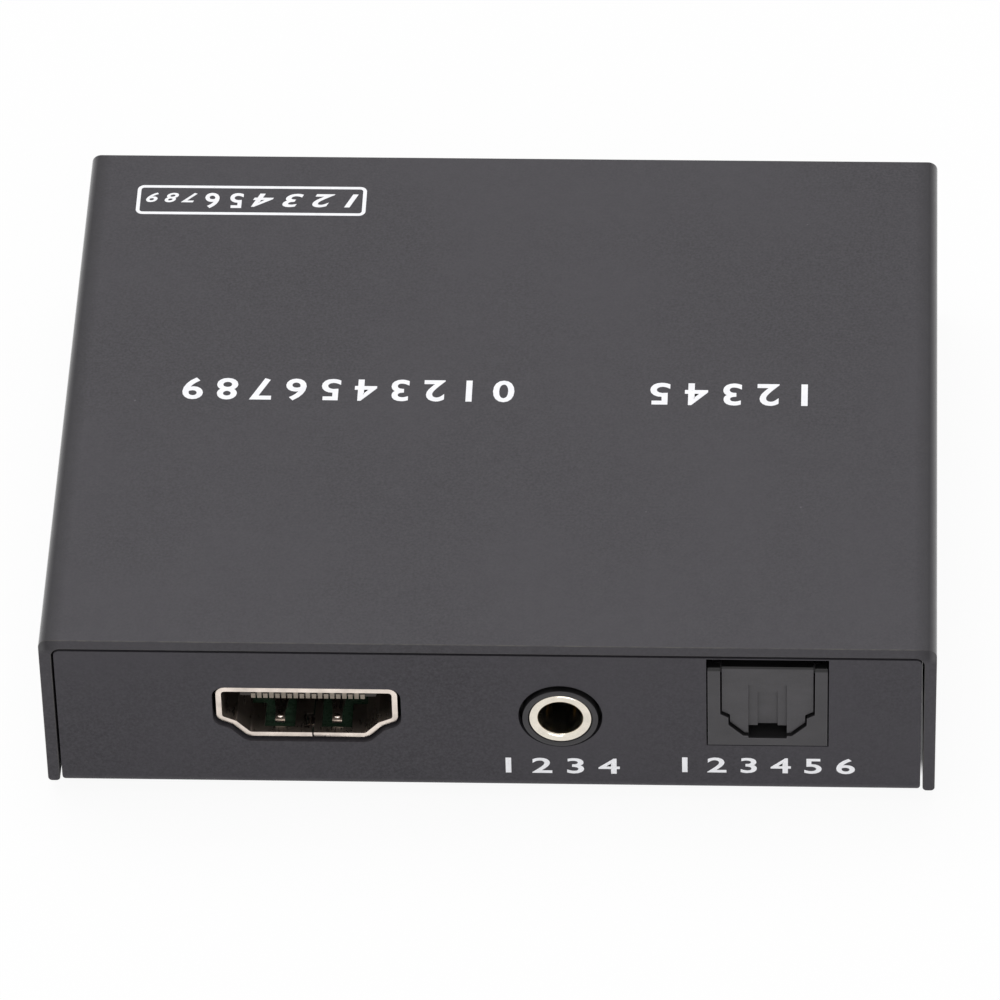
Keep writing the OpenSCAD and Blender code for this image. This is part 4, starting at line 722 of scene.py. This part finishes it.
class EXTRACTOR_OT_headphone_jack(bpy.types.Operator):
    """Finish the headphone jack"""

    bl_idname = "extractor.headphone_jack"
    bl_label = "Headphone jack"

    def execute(self, context):
        sizes, colours = context.scene.extractor_sizes, context.scene.extractor_colours
        nose = low("audio_jack_body")[1]
        # The nose's sides behind its front face get painted shade
        plastic = moulded("jack_plastic", shade(colours.plastic, 0.8), 0.4, face=nose)
        softened("jack_block", "audio_jack_body", sizes.mould_edge, "case", plastic)
        self.bush(plated_metal("bush_nickel", (0.83, 0.77, 0.67, 1), 0.17, tarnish=0.85))
        return {"FINISHED"}

    def bush(self, nickel):
        """Polished bush: a tube whose front is rounded by a quarter circle at its bore and at its rim."""
        node = "audio_jack_bush"
        width, length, _ = high(node) - low(node)
        centre = (middle(node)[0], low(node)[1], middle(node)[2])
        profile = np.concatenate([
            arc((BUSH_BORE + BUSH_ENTRY, BUSH_ENTRY), BUSH_ENTRY, 180, 270, 7),
            arc((width / 2 - BUSH_RIM, BUSH_RIM), BUSH_RIM, -90, 0, 6),
            [(width / 2, length), (BUSH_BORE, length)],
        ])
        turned("jack_bush", profile, centre, (0, 1, 0), 72, "case", nickel, (node,))


class EXTRACTOR_OT_optical_socket(bpy.types.Operator):
    """Finish the optical socket and its shutter"""

    bl_idname = "extractor.optical_socket"
    bl_label = "Optical socket"

    def execute(self, context):
        sizes, colours = context.scene.extractor_sizes, context.scene.extractor_colours
        # A strip of painted shade along the top of the housing and the shutter, and painted shade behind the
        # housing's front face
        top = high("optical_shutter")[2] - TOP_SHADE
        front = low("optical_housing")[1]
        housing = moulded("optical_plastic", shade(colours.plastic, 1.1), 0.42, face=front, top=top)
        flap = moulded("shutter_plastic", shade(colours.plastic, 1.25), 0.36, top=top)
        softened("optical_block", "optical_housing", sizes.mould_edge, "case", housing)
        softened("shutter_flap", "optical_shutter", sizes.mould_edge, "shutter", flap)
        repaint(plated_metal("spring_steel", (0.6, 0.6, 0.6, 1), 0.25), "shutter_spring")
        repaint(moulded("emitter_resin", (0.02, 0.02, 0.025, 1), 0.2), "optical_emitter")
        return {"FINISHED"}


class EXTRACTOR_OT_rear_panel(bpy.types.Operator):
    """Finish the power jack, the mode switch and the status lamp"""

    bl_idname = "extractor.rear_panel"
    bl_label = "Rear panel"

    def execute(self, context):
        sizes, colours = context.scene.extractor_sizes, context.scene.extractor_colours
        plastic = moulded("power_plastic", colours.plastic, 0.42)
        softened("power_block", "power_jack_body", sizes.mould_edge, "case", plastic)
        repaint(plated_metal("pin_nickel", (0.83, 0.77, 0.67, 1), 0.17), "power_jack_pin")
        black = moulded("switch_plastic", (0.022, 0.021, 0.022, 1), 0.38)
        softened("switch_knob", "mode_switch_knob", sizes.mould_edge, "mode_knob", black)
        repaint(black, "mode_switch_base", "capacitor_bases")
        repaint(clear_resin("lamp_resin", (0.62, 0.05, 0.03, 1)), "status_lamp")
        return {"FINISHED"}


class EXTRACTOR_OT_board(bpy.types.Operator):
    """Finish the circuit board and what stands on it"""

    bl_idname = "extractor.board"
    bl_label = "Board"

    def execute(self, context):
        colours = context.scene.extractor_colours
        repaint(solder_mask("board_green", colours.board), "circuit_board")
        resin = moulded("chip_resin", (0.025, 0.024, 0.026, 1), 0.6, 0.00008)
        repaint(resin, "video_chip", "audio_chip", "control_chip", "voltage_regulator")
        tin = plated_metal("tin", (0.68, 0.68, 0.67, 1), 0.3)
        repaint(tin, "chip_legs", "optical_leads", "status_lamp_leads")
        repaint(plated_metal("sink_aluminium", (0.72, 0.72, 0.73, 1), 0.36, (1, 0.05, 1)), "heatsink")
        repaint(plated_metal("can_aluminium", (0.76, 0.76, 0.77, 1), 0.26, (1, 1, 0.1)), "capacitor_cans")
        repaint(soft_rubber("pad_rubber", (0.26, 0.3, 0.36, 1)), "thermal_pad")
        ferrite = speckled("ferrite", (0.07, 0.07, 0.075, 1), (0.11, 0.11, 0.115, 1), 0.0003)
        repaint(ferrite, "power_inductor")
        tan = speckled("ceramic_tan", (0.45, 0.33, 0.2, 1), (0.55, 0.43, 0.29, 1), 0.0004, 0.4)
        repaint(tan, "ceramic_capacitors")
        glaze = speckled("resistor_glaze", (0.02, 0.02, 0.022, 1), (0.05, 0.05, 0.052, 1), 0.0003, 0.35)
        repaint(glaze, "chip_resistors")
        return {"FINISHED"}


class EXTRACTOR_OT_print(bpy.types.Operator):
    """Print plain numerals and a frame where the cover and the front panel are marked"""

    bl_idname = "extractor.print"
    bl_label = "Print"

    def execute(self, context):
        sizes, colours = context.scene.extractor_sizes, context.scene.extractor_colours
        ink = screen_ink("print_ink", colours.ink)
        front = low("base_tray")[1]
        roof = high("top_cover")[2]
        foot = VIEW_ORIGIN[2] * MM
        # In millimetres: name, numerals, middle x, width, middle height above the case's foot, height
        for name, words, x, width, z, height in (
            ("print_jack", "1 2 3 4", 6.0, 9.4, 2.42, 1.75),
            ("print_optical", "1 2 3 4 5 6", 22.93, 14.2, 2.7, 1.75),
        ):
            turn = Matrix.Rotation(math.radians(90), 4, "X")
            place = Matrix.Translation((x * MM, front - sizes.ink / 2, foot + z * MM)) @ turn
            size = (width * MM, height * MM, sizes.ink)
            printed(name, words, size, FRONT_WEIGHT, place, "case", ink)
        # In millimetres: name, numerals, slant, middle x, width, middle depth behind the front panel, height
        for name, words, slant, x, width, y, height in (
            ("print_long", "0 1 2 3 4 5 6 7 8 9", 0.0, -12.8, 27.9, 30.85, 2.75),
            ("print_short", "1 2 3 4 5", 0.0, 19.15, 13.2, 30.75, 2.75),
            ("print_badge", "1 2 3 4", 0.3, -17.8, 9.2, 55.15, 1.75),
            ("print_badge_large", "5 6", 0.0, -24.75, 3.3, 55.05, 2.0),
            ("print_badge_small", "7 8 9", 0.3, -29.3, 4.4, 55.4, 1.25),
        ):
            turn = Matrix.Rotation(math.radians(180), 4, "Z")
            place = Matrix.Translation((x * MM, front + y * MM, roof + sizes.ink / 2)) @ turn
            size = (width * MM, height * MM, sizes.ink)
            printed(name, words, size, ROOF_WEIGHT, place, "case", ink, slant)
        place = Matrix.Translation((FRAME_PLACE[0], front + FRAME_PLACE[1], roof))
        strip_frame("print_frame", sizes.ink, place, "case", ink)
        return {"FINISHED"}


class EXTRACTOR_OT_stage(bpy.types.Operator):
    """Set the floor, the lights and the photograph's camera"""

    bl_idname = "extractor.stage"
    bl_label = "Stage"

    def execute(self, context):
        scene = context.scene
        studio = scene.extractor_studio
        scene.view_settings.view_transform = "Standard"
        self.camera(scene)
        self.world(scene, studio.sky)
        self.floor(studio.floor)
        self.soft_box("key_light", studio.key, *KEY_BOX)
        self.soft_box("fill_light", studio.fill, *FILL_BOX)
        return {"FINISHED"}

    def camera(self, scene):
        """The fitted camera: its rows are the view's right, down and forward ways, turned about Z."""
        turn, tilt, roll = (math.radians(a) for a in (VIEW_TURN, VIEW_TILT, VIEW_ROLL))
        spin = np.array([
            (math.cos(turn), -math.sin(turn), 0), (math.sin(turn), math.cos(turn), 0), (0, 0, 1)])
        forward = np.array((0, math.cos(tilt), -math.sin(tilt)))
        right, up = np.array((1.0, 0, 0)), np.array((0, math.sin(tilt), math.cos(tilt)))
        rolled_right = math.cos(roll) * right + math.sin(roll) * up
        rolled_up = -math.sin(roll) * right + math.cos(roll) * up
        rows = np.array([rolled_right, -rolled_up, forward]) @ spin
        place = (-rows.T @ np.array(VIEW_PLACE) + np.array(VIEW_ORIGIN)) * MM
        data = bpy.data.cameras.new("photo_camera")
        data.sensor_width = SENSOR
        data.lens = VIEW_FOCAL * SENSOR / IMAGE_SIZE
        data.clip_start = 0.01
        data.clip_end = 50.0
        data.dof.use_dof = False
        camera = bpy.data.objects.new("photo_camera", data)
        scene.collection.objects.link(camera)
        turned_view = np.eye(4)
        turned_view[:3, :3] = np.column_stack([rows[0], -rows[1], -rows[2]])
        turned_view[:3, 3] = place
        camera.matrix_world = Matrix(turned_view.tolist())
        scene.camera = camera

    def world(self, scene, level):
        """White for the camera, reflections and glass, and the room's even light for everything else."""
        world = bpy.data.worlds.new("studio_world")
        scene.world = world
        world.use_nodes = True
        tree = world.node_tree
        tree.nodes.clear()
        path = tree.nodes.new("ShaderNodeLightPath")
        seen = path.outputs["Is Camera Ray"]
        for way in ("Is Glossy Ray", "Is Transmission Ray"):
            either = tree.nodes.new("ShaderNodeMath")
            either.operation = "MAXIMUM"
            tree.links.new(seen, either.inputs[0])
            tree.links.new(path.outputs[way], either.inputs[1])
            seen = either.outputs[0]
        strength = tree.nodes.new("ShaderNodeMapRange")
        strength.inputs["To Min"].default_value = level
        strength.inputs["To Max"].default_value = 1.0
        tree.links.new(seen, strength.inputs["Value"])
        background = tree.nodes.new("ShaderNodeBackground")
        background.inputs["Color"].default_value = WHITE
        tree.links.new(strength.outputs["Result"], background.inputs["Strength"])
        output = tree.nodes.new("ShaderNodeOutputWorld")
        tree.links.new(background.outputs[0], output.inputs["Surface"])

    def floor(self, half):
        """Pale floor with the object's shadow. For the camera, reflections and glass it is mostly plain
        white, but not under the object, where it stays matte."""
        g = Graph("floor_white")
        path = g.add("ShaderNodeLightPath")
        grain = g.noise(0.05, 2.0)
        tone = g.mix(grain, (0.9, 0.9, 0.9, 1), (0.93, 0.93, 0.93, 1))
        matte = g.add("ShaderNodeBsdfDiffuse", {"Color": tone})
        glow = g.add("ShaderNodeEmission", {"Color": WHITE, "Strength": 1.0})
        seen = g.math("MAXIMUM", path.outputs["Is Camera Ray"], path.outputs["Is Glossy Ray"])
        seen = g.math("MAXIMUM", seen, path.outputs["Is Transmission Ray"])
        beside, behind = high("top_cover")[0] - WHITE_ASIDE[0], high("base_tray")[1] - WHITE_ALONG[0]
        aside = g.math("ABSOLUTE", g.place("X"), 0.0)
        along = g.math("ABSOLUTE", g.place("Y"), 0.0)
        clear = g.math(
            "MAXIMUM",
            g.remap(aside, beside - WHITE_ASIDE[1], beside, 0.0, 1.0, True),
            g.remap(along, behind - WHITE_ALONG[1], behind, 0.0, 1.0, True),
        )
        share = g.math("MULTIPLY", g.math("MULTIPLY", seen, clear), FLOOR_WHITE)
        join = g.add("ShaderNodeMixShader", {"Fac": share})
        g.tree.links.new(matte.outputs[0], join.inputs[1])
        g.tree.links.new(glow.outputs[0], join.inputs[2])
        g.tree.links.new(join.outputs[0], g.output.inputs["Surface"])
        mesh = bpy.data.meshes.new("floor")
        corners = [(-half, -half), (half, -half), (half, half), (-half, half)]
        mesh.from_pydata([(x, y, -FLOOR_DROP) for x, y in corners], [], [(0, 1, 2, 3)])
        mesh.materials.append(g.material)
        floor = bpy.data.objects.new("floor", mesh)
        bpy.context.scene.collection.objects.link(floor)

    def soft_box(self, name, power, size, place, target):
        """A square area light that faces a target."""
        data = bpy.data.lights.new(name, "AREA")
        data.shape = "SQUARE"
        data.size = size
        data.energy = power
        light = bpy.data.objects.new(name, data)
        bpy.context.scene.collection.objects.link(light)
        way = Vector(target) - Vector(place)
        light.matrix_world = Matrix.Translation(place) @ way.to_track_quat("-Z", "Y").to_matrix().to_4x4()


class EXTRACTOR_PT_looks(bpy.types.Panel):
    """Sizes, colours and steps of the finish"""

    bl_label = "Audio Extractor"
    bl_idname = "EXTRACTOR_PT_looks"
    bl_space_type = "VIEW_3D"
    bl_region_type = "UI"
    bl_category = "Extractor"

    def draw(self, context):
        for group in (
            context.scene.extractor_sizes, context.scene.extractor_colours, context.scene.extractor_studio,
        ):
            box = self.layout.box()
            for key in group.__annotations__:
                box.prop(group, key)
        for operator in STEPS:
            self.layout.operator(operator.bl_idname)


STEPS = (
    EXTRACTOR_OT_stage,
    EXTRACTOR_OT_cover,
    EXTRACTOR_OT_tray,
    EXTRACTOR_OT_video_sockets,
    EXTRACTOR_OT_headphone_jack,
    EXTRACTOR_OT_optical_socket,
    EXTRACTOR_OT_rear_panel,
    EXTRACTOR_OT_board,
    EXTRACTOR_OT_print,
)
CLASSES = (ExtractorSizes, ExtractorColours, ExtractorStudio) + STEPS + (EXTRACTOR_PT_looks,)


def register():
    for item in CLASSES:
        bpy.utils.register_class(item)
    bpy.types.Scene.extractor_sizes = bpy.props.PointerProperty(type=ExtractorSizes)
    bpy.types.Scene.extractor_colours = bpy.props.PointerProperty(type=ExtractorColours)
    bpy.types.Scene.extractor_studio = bpy.props.PointerProperty(type=ExtractorStudio)


def unregister():
    del bpy.types.Scene.extractor_studio
    del bpy.types.Scene.extractor_colours
    del bpy.types.Scene.extractor_sizes
    for item in reversed(CLASSES):
        bpy.utils.unregister_class(item)


def main():
    """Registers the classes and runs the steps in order."""
    register()
    for operator in STEPS:
        group, name = operator.bl_idname.split(".")
        getattr(getattr(bpy.ops, group), name)()


if __name__ == "__main__":
    main()
